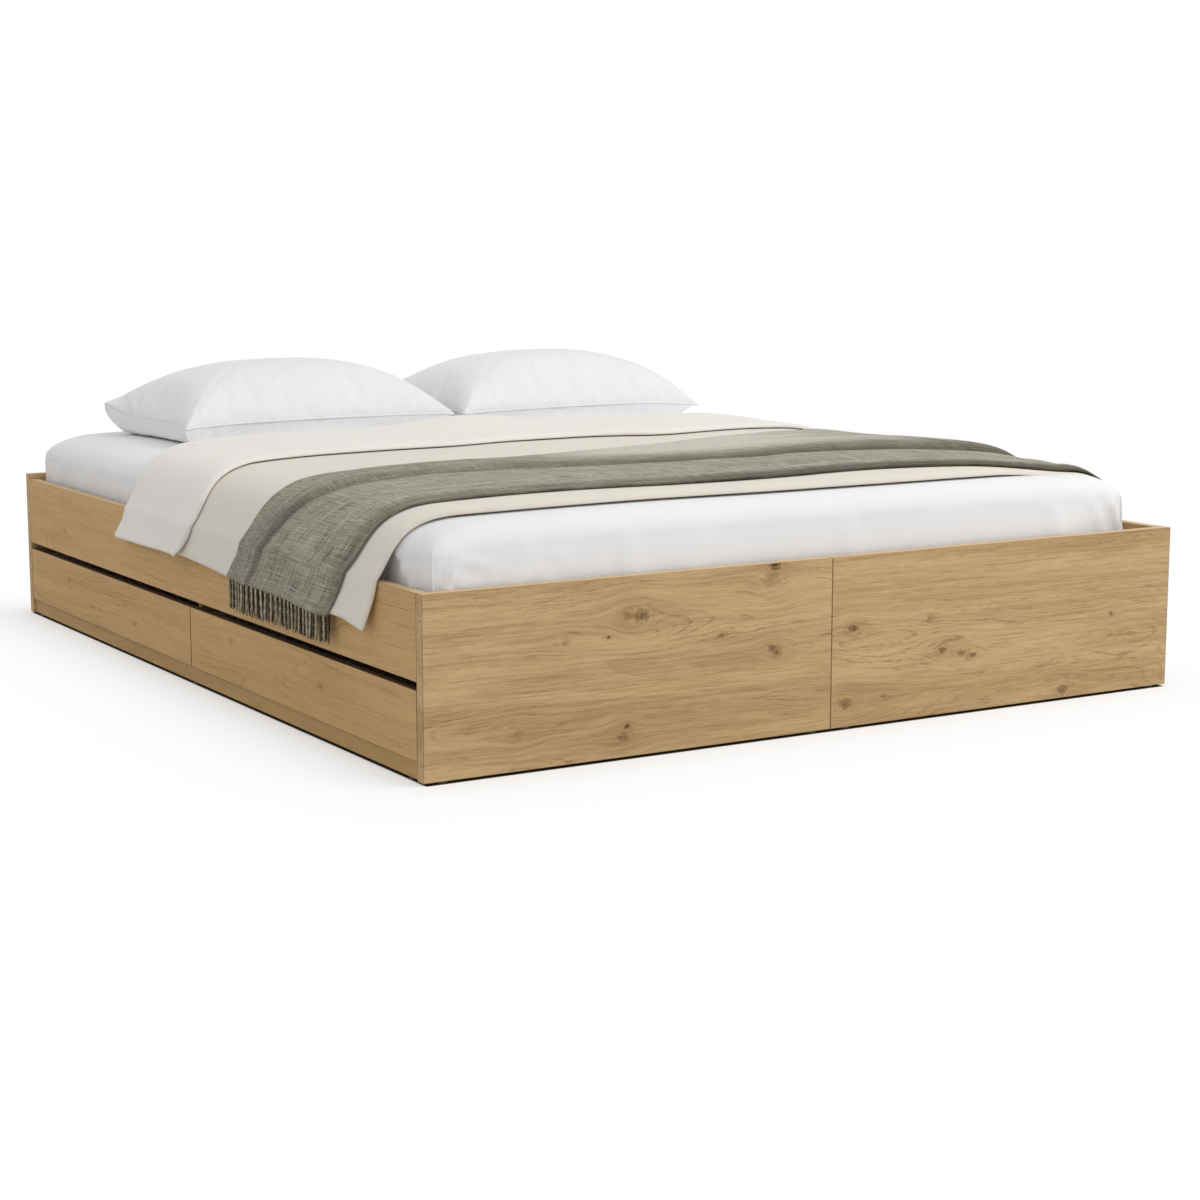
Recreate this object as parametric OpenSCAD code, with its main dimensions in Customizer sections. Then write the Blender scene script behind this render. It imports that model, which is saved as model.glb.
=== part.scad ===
// Low platform bed with two drawers on each side, made up with its bedding.
// X runs across the bed, Y from the foot (-) to the head (+), and Z up from the floor.
// The origin is on the floor, in the middle of the bed's footprint. Sizes are in millimetres.

/* [Mattress] */
// Width of the mattress in its fitted sheet
mattress_w = 1604; // [1500:2:1700]
// Length of the mattress in its fitted sheet
mattress_l = 2000; // [1900:10:2200]
// Height of the mattress at its edges
mattress_h = 180; // [150:5:220]
// Radius of the upper edges of the mattress
mattress_edge_r = 45; // [25:1:60]
// Corner radius of the mattress seen from above
mattress_corner_r = 34; // [15:1:60]
// How far the top of the mattress swells above its edges
mattress_crown = 4; // [1:1:10]

/* [Bed frame] */
// Thickness of the footboard, head panels and side rails
board_t = 22; // [18:1:28]
// Height of the footboard and side rails above the floor
frame_h = 320; // [316:1:360]
// How far the head panels stand above the side rails
head_rise = 12; // [0:1:40]
// Height of the side rails
rail_h = 149; // [130:1:152]
// Room between the mattress and each side rail
side_room = 6; // [2:1:20]
// Room between the mattress and the boards at its ends
end_room = 3; // [2:1:20]
// Seam between the two panels of the footboard and of the head end
panel_seam = 1; // [0.5:0.1:3]
// Depth from the top of the side rails down to the deck
deck_drop = 70; // [40:1:72]
// Thickness of the deck boards
deck_t = 16; // [12:1:18]
// Number of deck boards
deck_count = 4; // [4:1:4]
// Gap between two deck boards
deck_gap = 1; // [0.5:0.1:6]
// Thickness of the spine down the middle
spine_t = 22; // [16:1:30]
// Thickness of the partitions between the drawers
partition_t = 16; // [12:1:22]
// Thickness of the ledgers and of the seam battens
ledger_t = 22; // [16:1:26]
// Height of the ledgers that carry the deck
ledger_h = 40; // [30:1:44]
// Width of the battens behind the panel seams
batten_w = 120; // [80:1:200]
// Height of the plinths under the drawers
plinth_h = 30; // [20:1:31]
// How far the plinths stand back behind the drawer fronts
plinth_recess = 6; // [2:1:12]
// Chamfer along the edges of the visible boards
edge_chamfer = 1; // [0.4:0.1:2]

/* [Feet and brackets] */
// Diameter of the glide feet
glide_d = 20; // [12:1:22]
// Height of the glide feet
glide_h = 4; // [2:0.5:8]
// Distance of the glide feet from the ends of their boards
glide_inset = 38; // [20:1:80]
// Leg length of the corner brackets
bracket_leg = 46; // [36:1:52]
// Height of the corner brackets
bracket_h = 56; // [44:1:60]
// Metal thickness of the corner brackets
bracket_t = 2.5; // [1.5:0.5:4]
// Shank diameter of the bracket screws
screw_d = 4; // [3:0.5:5]
// Length of the bracket screws in the wood
screw_l = 15; // [10:1:16]
// Height of the screw heads
screw_head_h = 2.6; // [1.5:0.1:4]

/* [Drawers] */
// Height of the finger gap between a drawer front and its side rail
finger_gap = 13.5; // [11:0.5:25]
// Gap under the drawer fronts, above the plinth
front_foot_gap = 2; // [1:0.5:6]
// Gap at the ends of the drawer fronts
front_end_gap = 1.5; // [1:0.5:4]
// Thickness of the drawer fronts
front_t = 16; // [12:1:18]
// Depth of the drawer boxes behind their fronts
drawer_d = 540; // [520:5:700]
// Thickness of the drawer sides and backs
drawer_side_t = 12; // [10:1:16]
// Height of the drawer sides
drawer_side_h = 100; // [76:1:102]
// Height of the lower edge of the drawer sides above the fronts' lower edge
drawer_side_lift = 10; // [4:1:14]
// Thickness of the drawer bottoms
drawer_bottom_t = 5; // [3:0.5:8]
// Height of the drawer bottoms above the lower edge of the sides
drawer_bottom_lift = 12; // [8:1:16]
// Depth of the grooves that hold the drawer bottoms
groove_depth = 6; // [4:0.5:8]
// How far a drawer pulls out
drawer_travel = 375; // [200:5:375]

/* [Drawer runners] */
// Length of the runners
runner_l = 500; // [500:5:520]
// Height of the outer runners
runner_h = 35; // [34:0.5:40]
// Room for a runner between a drawer side and the board beside it
runner_w = 12.7; // [12.2:0.1:14]
// Metal thickness of the runners
runner_t = 1.2; // [1:0.1:1.4]
// Diameter of the balls
ball_d = 4.8; // [4:0.1:5.2]
// Number of balls in a row
ball_count = 5; // [3:1:7]
// Length of the ball cages
cage_l = 240; // [160:5:240]
// Thickness of the ball cages
cage_t = 0.8; // [0.5:0.1:1]

/* [Pillows] */
// Width of a pillow, corner to corner
pillow_w = 672; // [560:2:720]
// Depth of a pillow, corner to corner
pillow_d = 430; // [380:5:500]
// Height of the pillow's seam above the mattress
pillow_seam_h = 42; // [25:1:60]
// Height of the pillow's crown above its seam
pillow_crown_h = 130; // [60:5:160]
// How far the sides of a pillow are drawn in between its corners
pillow_draw_in = 24; // [5:1:40]
// Distance from the head panels to the pillows' back corners
pillow_set_out = 92; // [40:1:140]
// Gap between the two pillows at their corners
pillow_gap = 26; // [4:1:60]

/* [Duvet and throw] */
// Thickness of the duvet
duvet_t = 12; // [8:1:16]
// Gap between two layers of bedding
layer_gap = 0.4; // [0.3:0.1:1]
// Bend radius where the bedding goes over the sides
drape_r = 78; // [70:1:110]
// Height of the duvet's hem above the floor, near the head
duvet_hem_head_z = 258; // [240:1:290]
// Height of the duvet's hem above the floor, near the foot
duvet_hem_foot_z = 234; // [220:1:290]
// Distance from the mattress's foot end to the duvet's lower edge
duvet_foot_set_in = 46; // [45:1:140]
// Distance from the mattress's head end to the folded edge of the duvet
duvet_head_set_in = 560; // [540:5:800]
// Width of the turned-back part of the duvet
turn_back = 395; // [120:5:420]
// Thickness of the throw
throw_t = 5; // [3:0.5:8]
// Height of the throw's hems above the floor
throw_hem_z = 272; // [255:1:300]
// Width of the throw where it hangs on the left
throw_left_w = 460; // [300:10:700]
// Width of the throw where it hangs on the right
throw_right_w = 900; // [300:10:900]
// Distance from the mattress's foot end to the middle of the throw
throw_set_in = 500; // [500:10:520]
// Height of the throw's soft folds
throw_fold_h = 13; // [2:1:20]

/* [Hidden] */
$fn = 32;
drawer_names = ["foot_left_drawer", "head_left_drawer", "foot_right_drawer", "head_right_drawer"];
drawer_pieces = ["front", "foot_side", "head_side", "back", "bottom", "inner_runners", "ball_cages"];

// Overall sizes and the main planes
half_w = mattress_w / 2 + side_room + board_t;
half_l = mattress_l / 2 + end_room + board_t;
inner_x = half_w - board_t;
inner_y = half_l - board_t;
rail_z = frame_h - rail_h;
deck_top_z = frame_h - deck_drop;
deck_z = deck_top_z - deck_t;
ledger_z = deck_z - ledger_h;
plinth_top_z = glide_h + plinth_h;

// Corner brackets sit under the deck, in the corners that the ledgers leave free
fit_gap = 0.5;
bracket_top_z = deck_z - 1;
bracket_z = bracket_top_z - bracket_h;
ledger_end_room = bracket_leg + 8;
screw_pitch = bracket_h / 2;
screw_z = bracket_z + bracket_h / 2;
screw_reach = bracket_leg * 0.6;
pilot_gap = 0.05;

// Drawers: one bay is worked out for the right-hand head end and mirrored to the others
bay_y0 = partition_t / 2;
bay_y1 = inner_y;
front_z0 = plinth_top_z + front_foot_gap;
front_z1 = rail_z - finger_gap;
front_x = half_w - front_t;
side_z = front_z0 + drawer_side_lift;
bottom_z = side_z + drawer_bottom_lift;
box_y0 = bay_y0 + runner_w;
box_y1 = bay_y1 - runner_w;
groove_gap = 0.4;
runner_z = side_z + drawer_side_h / 2;
runner_front_x = half_w - board_t;
lip_h = 1.2;
ball_gap = 0.2;
ball_set_out = 2;
ball_y = runner_t + ball_d / 2 + ball_set_out;
ball_z = runner_h / 2 - runner_t - ball_d / 2 - ball_gap;
inner_h = 2 * (ball_z - ball_d / 2 - ball_gap);
lip_gap = 0.5;
outer_w = ball_y + ball_d / 2 + runner_t + lip_gap;
cage_gap = 0.3;
cage_y = runner_t + cage_gap;
inner_gap = 0.7;
// Closed, the cage lies at the back, so that half the travel brings it to the front
cage_stop = 4;
cage_front_x = runner_front_x - drawer_travel / 2 - cage_stop;
ball_end_room = 20;
ball_pitch = (cage_l - 2 * ball_end_room) / (ball_count - 1);

// Bedding
mattress_z = deck_top_z;
mattress_edge_z = mattress_z + mattress_h;
mattress_top_z = mattress_edge_z + mattress_crown;
bed_z = mattress_top_z + layer_gap;
drape_x = half_w + 2;
arc_x = drape_x - drape_r;
throw_base = duvet_t + layer_gap;
throw_mid_y = -mattress_l / 2 + throw_set_in;
duvet_foot_y = -mattress_l / 2 + duvet_foot_set_in;
duvet_head_y = mattress_l / 2 - duvet_head_set_in;
duvet_flap_y = duvet_head_y - turn_back;

// ---------------------------------------------------------------- boards

// A board with chamfered long edges: size along its length, then its two other sizes
module chamfered_bar(l, a, b) {
    c = edge_chamfer;
    rotate([90, 0, 90])
        linear_extrude(l)
            polygon([[c, 0], [a - c, 0], [a, c], [a, b - c], [a - c, b], [c, b], [0, b - c], [0, c]]);
}

// The same along Y: length along Y, width along X, height along Z
module chamfered_bar_y(l, a, b) {
    c = edge_chamfer;
    translate([0, l, 0])
        rotate([90, 0, 0])
            linear_extrude(l)
                polygon([[c, 0], [a - c, 0], [a, c], [a, b - c], [a - c, b], [c, b], [0, b - c], [0, c]]);
}

// Puts its children at each place of a bracket screw in an end board, or in a side rail
module end_screw_places() {
    for (side = [-1, 1], level = [-1, 1])
        translate([side * (inner_x - screw_reach), inner_y, screw_z + level * screw_pitch / 2])
            rotate([-90, 0, 0])
                children();
}

module rail_screw_places() {
    for (end = [-1, 1], level = [-1, 1])
        translate([inner_x, end * (inner_y - screw_reach), screw_z + level * screw_pitch / 2])
            rotate([0, 90, 0])
                children();
}

module pilot_hole() {
    translate([0, 0, -1])
        cylinder(d = screw_d + 2 * pilot_gap, h = screw_l + 2);
}

// One half of the footboard or of the head end, at the +Y end of the bed
module end_panel(side, top_z) {
    w = half_w - panel_seam / 2;
    difference() {
        translate([side > 0 ? panel_seam / 2 : -half_w, inner_y, glide_h])
            chamfered_bar(w, board_t, top_z - glide_h);
        end_screw_places() pilot_hole();
    }
}

module footboard(side) {
    color("burlywood")
        mirror([0, 1, 0]) end_panel(side, frame_h);
}

module head_panel(side) {
    color("burlywood")
        end_panel(side, frame_h + head_rise);
}

module side_rail(side) {
    color("burlywood")
        mirror([side < 0 ? 1 : 0, 0, 0])
            difference() {
                translate([inner_x, -inner_y, rail_z])
                    chamfered_bar_y(2 * inner_y, board_t, rail_h);
                rail_screw_places() pilot_hole();
            }
}

module plinth(side) {
    color("peru")
        mirror([side < 0 ? 1 : 0, 0, 0])
            translate([inner_x, -inner_y, glide_h])
                cube([board_t - plinth_recess, 2 * inner_y, plinth_h]);
}

module centre_spine() {
    color("tan")
        translate([-spine_t / 2, -inner_y + ledger_t, glide_h])
            cube([spine_t, 2 * (inner_y - ledger_t), deck_z - glide_h]);
}

// A cross board between the spine and the side rail, notched for the side ledger
module partition(side) {
    color("tan")
        mirror([side < 0 ? 1 : 0, 0, 0])
            difference() {
                translate([spine_t / 2, -partition_t / 2, glide_h])
                    cube([inner_x - spine_t / 2, partition_t, deck_z - glide_h]);
                translate([inner_x - ledger_t - fit_gap, -partition_t, ledger_z - fit_gap])
                    cube([ledger_t + 2 * fit_gap, 2 * partition_t, ledger_h + 2 * fit_gap + 1]);
            }
}

// The batten that joins two end panels behind their seam, under the end ledger
module seam_batten(end) {
    color("tan")
        mirror([0, end < 0 ? 1 : 0, 0])
            translate([-batten_w / 2, inner_y - ledger_t, glide_h])
                cube([batten_w, ledger_t, ledger_z - glide_h]);
}

module side_ledger(side) {
    l = 2 * (inner_y - ledger_end_room);
    color("wheat")
        mirror([side < 0 ? 1 : 0, 0, 0])
            translate([inner_x - ledger_t, -l / 2, ledger_z])
                cube([ledger_t, l, ledger_h]);
}

// The end ledgers lie on the seam battens, and the spine butts against them
module end_ledger(end) {
    l = 2 * (inner_x - ledger_end_room);
    color("wheat")
        mirror([0, end < 0 ? 1 : 0, 0])
            translate([-l / 2, inner_y - ledger_t, ledger_z])
                cube([l, ledger_t, ledger_h]);
}

// Deck boards lie side by side from the foot to the head
module deck_board(i) {
    pitch = 2 * inner_y / deck_count;
    w = 2 * inner_x - 2 * deck_gap;
    color("wheat")
        translate([-w / 2, -inner_y + (i - 1) * pitch + deck_gap / 2, deck_z])
            cube([w, pitch - deck_gap, deck_t]);
}

// ---------------------------------------------------------------- fittings

// Steel angle in the corner at +X +Y, drilled for two screws in each leg
module corner_bracket() {
    difference() {
        translate([inner_x - bracket_leg, inner_y - bracket_leg, bracket_z])
            difference() {
                cube([bracket_leg, bracket_leg, bracket_h]);
                translate([-1, -1, -1])
                    cube([bracket_leg - bracket_t + 1, bracket_leg - bracket_t + 1, bracket_h + 2]);
            }
        end_screw_places() bracket_hole();
        rail_screw_places() bracket_hole();
    }
}

module bracket_hole() {
    translate([0, 0, -bracket_t - 1])
        cylinder(d = screw_d + 2 * pilot_gap, h = bracket_t + 2);
}

module corner_brackets() {
    color("silver")
        for (x = [0, 1], y = [0, 1])
            mirror([x, 0, 0]) mirror([0, y, 0]) corner_bracket();
}

// Round-headed screw: its origin is where the shank enters the wood
module bracket_screw() {
    cylinder(d = screw_d, h = screw_l);
    translate([0, 0, -bracket_t])
        cylinder(d = screw_d, h = bracket_t);
    translate([0, 0, -bracket_t - screw_head_h])
        cylinder(d1 = screw_d, d2 = 2 * screw_d, h = screw_head_h);
}

module bracket_screws() {
    color("gainsboro") {
        for (y = [0, 1]) mirror([0, y, 0]) end_screw_places() bracket_screw();
        for (x = [0, 1]) mirror([x, 0, 0]) rail_screw_places() bracket_screw();
    }
}

// A nail-on glide: a low disc with a chamfered foot
module glide_foot() {
    c = glide_h / 4;
    rotate_extrude()
        polygon([[0, 0], [glide_d / 2 - c, 0], [glide_d / 2, c], [glide_d / 2, glide_h], [0, glide_h]]);
}

module glide_feet() {
    end_y = half_l - board_t / 2;
    plinth_x = inner_x + (board_t - plinth_recess) / 2;
    color("black") {
        for (x = [-half_w + glide_inset, -glide_inset, glide_inset, half_w - glide_inset], y = [-end_y, end_y])
            translate([x, y, 0]) glide_foot();
        for (x = [-plinth_x, plinth_x], y = [-1, 1])
            translate([x, y * (inner_y - glide_inset), 0]) glide_foot();
        for (x = [-plinth_x, plinth_x, -half_w / 2, 0, half_w / 2])
            translate([x, 0, 0]) glide_foot();
        for (y = [-inner_y / 2, inner_y / 2])
            translate([0, y, 0]) glide_foot();
    }
}

// ---------------------------------------------------------------- drawers

// A drawer is [side, end]: -1 or 1 for left or right, and for foot or head
function drawer_at(i) = [i < 2 ? -1 : 1, i % 2 == 0 ? -1 : 1];

module in_bay(d) {
    mirror([d[0] < 0 ? 1 : 0, 0, 0])
        mirror([0, d[1] < 0 ? 1 : 0, 0])
            children();
}

// The slot that the drawer bottom slides into, cut from the front and the sides
module bottom_groove() {
    translate([front_x - drawer_d - 1, box_y0 + drawer_side_t - groove_depth, bottom_z])
        cube([drawer_d + 1 + groove_depth, box_y1 - box_y0 - 2 * (drawer_side_t - groove_depth),
              drawer_bottom_t + groove_gap]);
}

module drawer_front(d) {
    y0 = front_end_gap;
    y1 = bay_y1 - front_end_gap;
    color("burlywood")
        in_bay(d)
            difference() {
                translate([front_x, y0, front_z0])
                    chamfered_bar_y(y1 - y0, front_t, front_z1 - front_z0);
                bottom_groove();
            }
}

// The two sides of a drawer are alike: the inner one is beside the partition
module drawer_side(d, outer) {
    y = outer ? box_y1 - drawer_side_t : box_y0;
    color("white")
        in_bay(d)
            difference() {
                translate([front_x - drawer_d, y, side_z])
                    cube([drawer_d, drawer_side_t, drawer_side_h]);
                bottom_groove();
            }
}

// The back stands on the drawer bottom, between the sides
module drawer_back(d) {
    color("white")
        in_bay(d)
            translate([front_x - drawer_d, box_y0 + drawer_side_t, bottom_z + drawer_bottom_t])
                cube([drawer_side_t, box_y1 - box_y0 - 2 * drawer_side_t,
                      side_z + drawer_side_h - bottom_z - drawer_bottom_t]);
}

module drawer_bottom(d) {
    inset = drawer_side_t - groove_depth + groove_gap;
    color("whitesmoke")
        in_bay(d)
            translate([front_x - drawer_d, box_y0 + inset, bottom_z])
                cube([drawer_d + groove_depth - groove_gap, box_y1 - box_y0 - 2 * inset, drawer_bottom_t]);
}

// Cross sections of a runner, from the board (y = 0) towards the drawer side (y = runner_w)
module outer_section() {
    h = runner_h / 2;
    t = runner_t;
    w = outer_w;
    polygon([
        [0, -h], [w, -h], [w, -h + t + lip_h], [w - t, -h + t + lip_h], [w - t, -h + t], [t, -h + t],
        [t, h - t], [w - t, h - t], [w - t, h - t - lip_h], [w, h - t - lip_h], [w, h], [0, h]
    ]);
}

module inner_section() {
    h = inner_h / 2;
    t = runner_t;
    y0 = cage_y + cage_t + inner_gap;
    polygon([
        [y0, -h], [runner_w, -h], [runner_w, h], [y0, h],
        [y0, h - t], [runner_w - t, h - t], [runner_w - t, -h + t], [y0, -h + t]
    ]);
}

module cage_section() {
    h = ball_z + cage_t / 2;
    t = cage_t;
    y1 = outer_w - runner_t - lip_gap;
    polygon([
        [cage_y, -h], [y1, -h], [y1, -h + t], [cage_y + t, -h + t],
        [cage_y + t, h - t], [y1, h - t], [y1, h], [cage_y, h]
    ]);
}

// Extrudes a runner section along X, back from its front end
module along_runner(front, l) {
    translate([front - l, 0, runner_z])
        rotate([90, 0, 90])
            linear_extrude(l)
                children();
}

// Both runners of a bay: the second is turned to face the first
module runner_pair() {
    translate([0, bay_y0, 0]) children();
    translate([0, bay_y1, 0]) mirror([0, 1, 0]) children();
}

module outer_runners() {
    color("silver")
        for (i = [0 : 3])
            in_bay(drawer_at(i))
                runner_pair()
                    along_runner(runner_front_x, runner_l) outer_section();
}

module inner_runners(d) {
    color("silver")
        in_bay(d)
            runner_pair()
                along_runner(runner_front_x, runner_l) inner_section();
}

module ball_cages(d) {
    color("goldenrod")
        in_bay(d)
            runner_pair() {
                along_runner(cage_front_x, cage_l) cage_section();
                for (i = [0 : ball_count - 1], level = [-1, 1]) {
                    x = cage_front_x - ball_end_room - i * ball_pitch;
                    translate([x, ball_y, runner_z + level * ball_z])
                        sphere(d = ball_d, $fn = 24);
                }
            }
}

// ---------------------------------------------------------------- soft forms

// Outline of a rectangle with round corners, as points turning anticlockwise
function round_rect(hx, hy, r, steps) = [
    for (c = [[1, 1, 0], [-1, 1, 90], [-1, -1, 180], [1, -1, 270]])
        for (i = [0 : steps])
            let (a = c[2] + 90 * i / steps)
                [c[0] * (hx - r) + r * cos(a), c[1] * (hy - r) + r * sin(a)]
];

// Faces between two neighbouring rings of n points, where ring k starts at point k * n
function ring_faces(k, n) = [
    for (i = [0 : n - 1])
        let (a = k * n + i, b = k * n + (i + 1) % n)
            each [[a, a + n, b], [b, a + n, b + n]]
];

// A closed solid through a stack of rings, with a point at its bottom and at its top
module ring_solid(rings, low, high) {
    n = len(rings[0]);
    count = len(rings);
    points = concat([for (r = rings) each r], [low, high]);
    polyhedron(points, concat(
        [for (k = [0 : count - 2]) each ring_faces(k, n)],
        [for (i = [0 : n - 1]) [n * count, i, (i + 1) % n]],
        [for (i = [0 : n - 1]) [n * count + 1, n * (count - 1) + (i + 1) % n, n * (count - 1) + i]]
    ));
}

// Mattress: each ring is [inset from the side, height above the deck], and its top is level
// a quarter of the way in
module mattress() {
    r = mattress_edge_r;
    foot_r = 18;
    side_swell = 2;
    profile = concat(
        [for (a = [0, 45]) [foot_r * (1 - sin(a)) + side_swell, foot_r * (1 - cos(a))]],
        [for (f = [0, 0.5, 1])
            [side_swell * (1 - sin(180 * f)), foot_r + f * (mattress_h - foot_r - r)]],
        [for (a = [20 : 17.5 : 90]) [r * (1 - cos(a)) + side_swell, mattress_h - r * (1 - sin(a))]],
        [for (f = [0.06, 0.14, 0.25, 0.95])
            [r + f * (mattress_w / 2 - r), mattress_h + mattress_crown * sin(90 * min(1, 4 * f))]]
    );
    rings = [
        for (p = profile)
            let (hx = mattress_w / 2 - p[0], hy = mattress_l / 2 - p[0])
                [for (q = round_rect(hx, hy, max(mattress_corner_r - p[0] / 3, 6), 5))
                    [q[0], q[1], mattress_z + p[1]]]
    ];
    color("white")
        ring_solid(rings, [0, 0, mattress_z], [0, 0, mattress_top_z]);
}

// The edge of a square from -1 to 1, with steps points to a side
function square_edge(steps) = [
    for (side = [0 : 3])
        for (i = [0 : steps - 1])
            let (v = -1 + 2 * i / steps)
                side == 0 ? [1, v] : side == 1 ? [-v, 1] : side == 2 ? [-1, -v] : [v, -1]
];

// A pillow swells by this share at u, which runs from -1 to 1 across it
function swell(u) = pow(max(0, 1 - pow(abs(u), 2.5)), 0.62);

// Pillow: rings run from the flat underside out to the seam and in again to the crown.
// Each is a square edge drawn to its size f, and its sides are drawn in between the corners.
module pillow(side) {
    rest_z = bed_z;
    seam_z = rest_z + pillow_seam_h;
    sizes = [0.42, 0.6, 0.75, 0.87, 0.95, 1, 0.965, 0.9, 0.8, 0.67, 0.52, 0.35, 0.17];
    seam_ring = 5;
    rings = [
        for (k = [0 : len(sizes) - 1])
            [for (q = square_edge(10))
                let (u = q[0] * sizes[k],
                     v = q[1] * sizes[k],
                     full = swell(u) * swell(v),
                     z = seam_z + (k < seam_ring ? -1.9 * pillow_seam_h : pillow_crown_h) * full)
                    [u * (pillow_w / 2 - pillow_draw_in * (1 - v * v)),
                     v * (pillow_d / 2 - pillow_draw_in * (1 - u * u)),
                     max(z, rest_z)]]
    ];
    x = side * (pillow_w + pillow_gap) / 2;
    y = inner_y - pillow_set_out - pillow_d / 2;
    color("white")
        translate([x, y, 0])
            ring_solid(rings, [0, 0, rest_z], [0, 0, seam_z + pillow_crown_h]);
}

// Where bedding lies: q runs from -3 at the left hem over the bed to 3 at the right hem.
// Up to 1 it is on top, up to 2 it bends over the side, and up to 3 it hangs down to hem.
// The point is [x, z], out from the bed by d.
function drape(q, d, hem, flare) =
    let (a = abs(q), s = sign(q))
        a <= 1 ? [q * arc_x, bed_z + d] :
        a <= 2 ? let (t = 90 * (2 - a))
            [s * (arc_x + (drape_r + d) * cos(t)), bed_z - drape_r + (drape_r + d) * sin(t)] :
        let (f = a - 2)
            [s * (drape_x + d + flare * f * f), bed_z - drape_r - f * (bed_z - drape_r - hem)];

// Stations from hem to hem: hangs of n_hang steps, bends of n_bend, and n_top across the top
function drape_stations(n_hang, n_bend, n_top) = concat(
    [for (i = [0 : n_hang - 1]) -3 + i / n_hang],
    [for (i = [0 : n_bend - 1]) -2 + i / n_bend],
    [for (i = [0 : n_top]) -1 + 2 * i / n_top],
    [for (i = [1 : n_bend]) 1 + i / n_bend],
    [for (i = [1 : n_hang]) 2 + i / n_hang]
);

// A cloth as a closed solid. Each row of the grid crosses the cloth: m points on its
// outer face, then the same m points on its inner face in the opposite order.
module cloth_solid(rows) {
    n = len(rows[0]);
    m = n / 2;
    last = (len(rows) - 1) * n;
    polyhedron([for (r = rows) each r], concat(
        [for (k = [0 : len(rows) - 2]) each ring_faces(k, n)],
        [for (i = [0 : m - 2]) each [[i, i + 1, n - 1 - i], [i + 1, n - 2 - i, n - 1 - i]]],
        [for (i = [0 : m - 2]) each [
            [last + i, last + n - 1 - i, last + i + 1],
            [last + i + 1, last + n - 1 - i, last + n - 2 - i]
        ]]
    ));
}

// Middle line of the duvet across its fold, as [y, d, angle of its outward side]:
// the lower layer from the foot to the head, round the fold, and back as the upper layer
function duvet_line() =
    let (t = duvet_t, mid = t / 2, up = t + layer_gap, r = up / 2)
        concat(
            [for (f = [0, 0.04, 0.25, 0.5, 0.75, 1])
                [duvet_foot_y + f * (duvet_head_y - r - duvet_foot_y), mid, 90]],
            [for (a = [-45, 0, 45]) [duvet_head_y - r + r * cos(a), mid + r + r * sin(a), a + 180]],
            [for (f = [0, 0.3, 0.6, 0.95, 1]) [duvet_head_y - r - f * (turn_back - r), mid + up, 270]]
        );

// The duvet's foot edge runs back towards the head as it comes down the side
module duvet() {
    line = duvet_line();
    m = len(line);
    half_t = duvet_t / 2;
    sweep = 135;
    rows = [
        for (q = drape_stations(4, 5, 8))
            let (f = max(abs(q) - 2, 0), drop = max(abs(q) - 1, 0) / 2)
                [for (j = [0 : 2 * m - 1])
                    let (c = line[j < m ? j : 2 * m - 1 - j],
                         o = j < m ? half_t : -half_t,
                         y = c[0] + o * cos(c[2]),
                         d = c[1] + o * sin(c[2]),
                         k = max(0, 1 - (y - duvet_foot_y) / 500),
                         along = (y - duvet_foot_y) / (duvet_head_y - duvet_foot_y),
                         hem = duvet_hem_foot_z + (duvet_hem_head_z - duvet_hem_foot_z) * along,
                         p = drape(q, d, hem, 6 + 3 * sin(y * 1.1)))
                        [p[0], y + sweep * k * drop * drop, p[1]]]
    ];
    color("cornsilk")
        cloth_solid(rows);
}

// Folds of the throw: u runs from its foot edge (0) to its head edge (1)
function throw_fold(u) = throw_fold_h * (hump(u, 0.68, 0.96) + 0.45 * hump(u, 0.2, 0.56));

// A smooth rise to 1 and back between two places
function hump(u, from, to) = pow(sin(180 * min(1, max(0, (u - from) / (to - from)))), 2);

// The throw fans out from its left hem to its right hem
function throw_w_at(q) =
    let (t = min(1, max(0, (q + 2.2) / 3.6)))
        throw_left_w + (throw_right_w - throw_left_w) * t * t * (3 - 2 * t);

module throw() {
    m = 15;
    flare = 9;
    hang_back = 40;
    rows = [
        for (q = drape_stations(3, 5, 8))
            let (f = max(abs(q) - 2, 0))
                [for (j = [0 : 2 * m - 1])
                    let (i = j < m ? j : 2 * m - 1 - j,
                         u = i / (m - 1),
                         y = throw_mid_y + (u - 0.5) * throw_w_at(q) + hang_back * f,
                         lift = throw_fold(u) * (1 - 0.25 * f),
                         p = drape(q, throw_base + lift + (j < m ? throw_t : 0), throw_hem_z, flare))
                        [p[0], y, p[1]]]
    ];
    color("slategray")
        cloth_solid(rows);
}

// ---------------------------------------------------------------- the bed

footboard(-1);  // footboard_left
footboard(1);  // footboard_right
head_panel(-1);  // head_panel_left
head_panel(1);  // head_panel_right
side_rail(-1);  // side_rail_left
side_rail(1);  // side_rail_right
plinth(-1);  // plinth_left
plinth(1);  // plinth_right
centre_spine();
partition(-1);  // partition_left
partition(1);  // partition_right
seam_batten(-1);  // foot_seam_batten
seam_batten(1);  // head_seam_batten
side_ledger(-1);  // ledger_left
side_ledger(1);  // ledger_right
end_ledger(-1);  // ledger_foot
end_ledger(1);  // ledger_head
for (i = [1 : deck_count])
    deck_board(i);
corner_brackets();
bracket_screws();
glide_feet();
outer_runners();
mattress();
pillow(-1);  // pillow_left
pillow(1);  // pillow_right
duvet();
throw();
for (i = [0 : 3]) {
    name = drawer_names[i];
    d = drawer_at(i);
    drawer_front(d);
    drawer_side(d, d[1] < 0);
    drawer_side(d, d[1] > 0);
    drawer_back(d);
    drawer_bottom(d);
    inner_runners(d);
    ball_cages(d);
}
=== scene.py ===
"""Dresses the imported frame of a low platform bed: boards, drawers, mattress, pillows, duvet and throw."""

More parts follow.
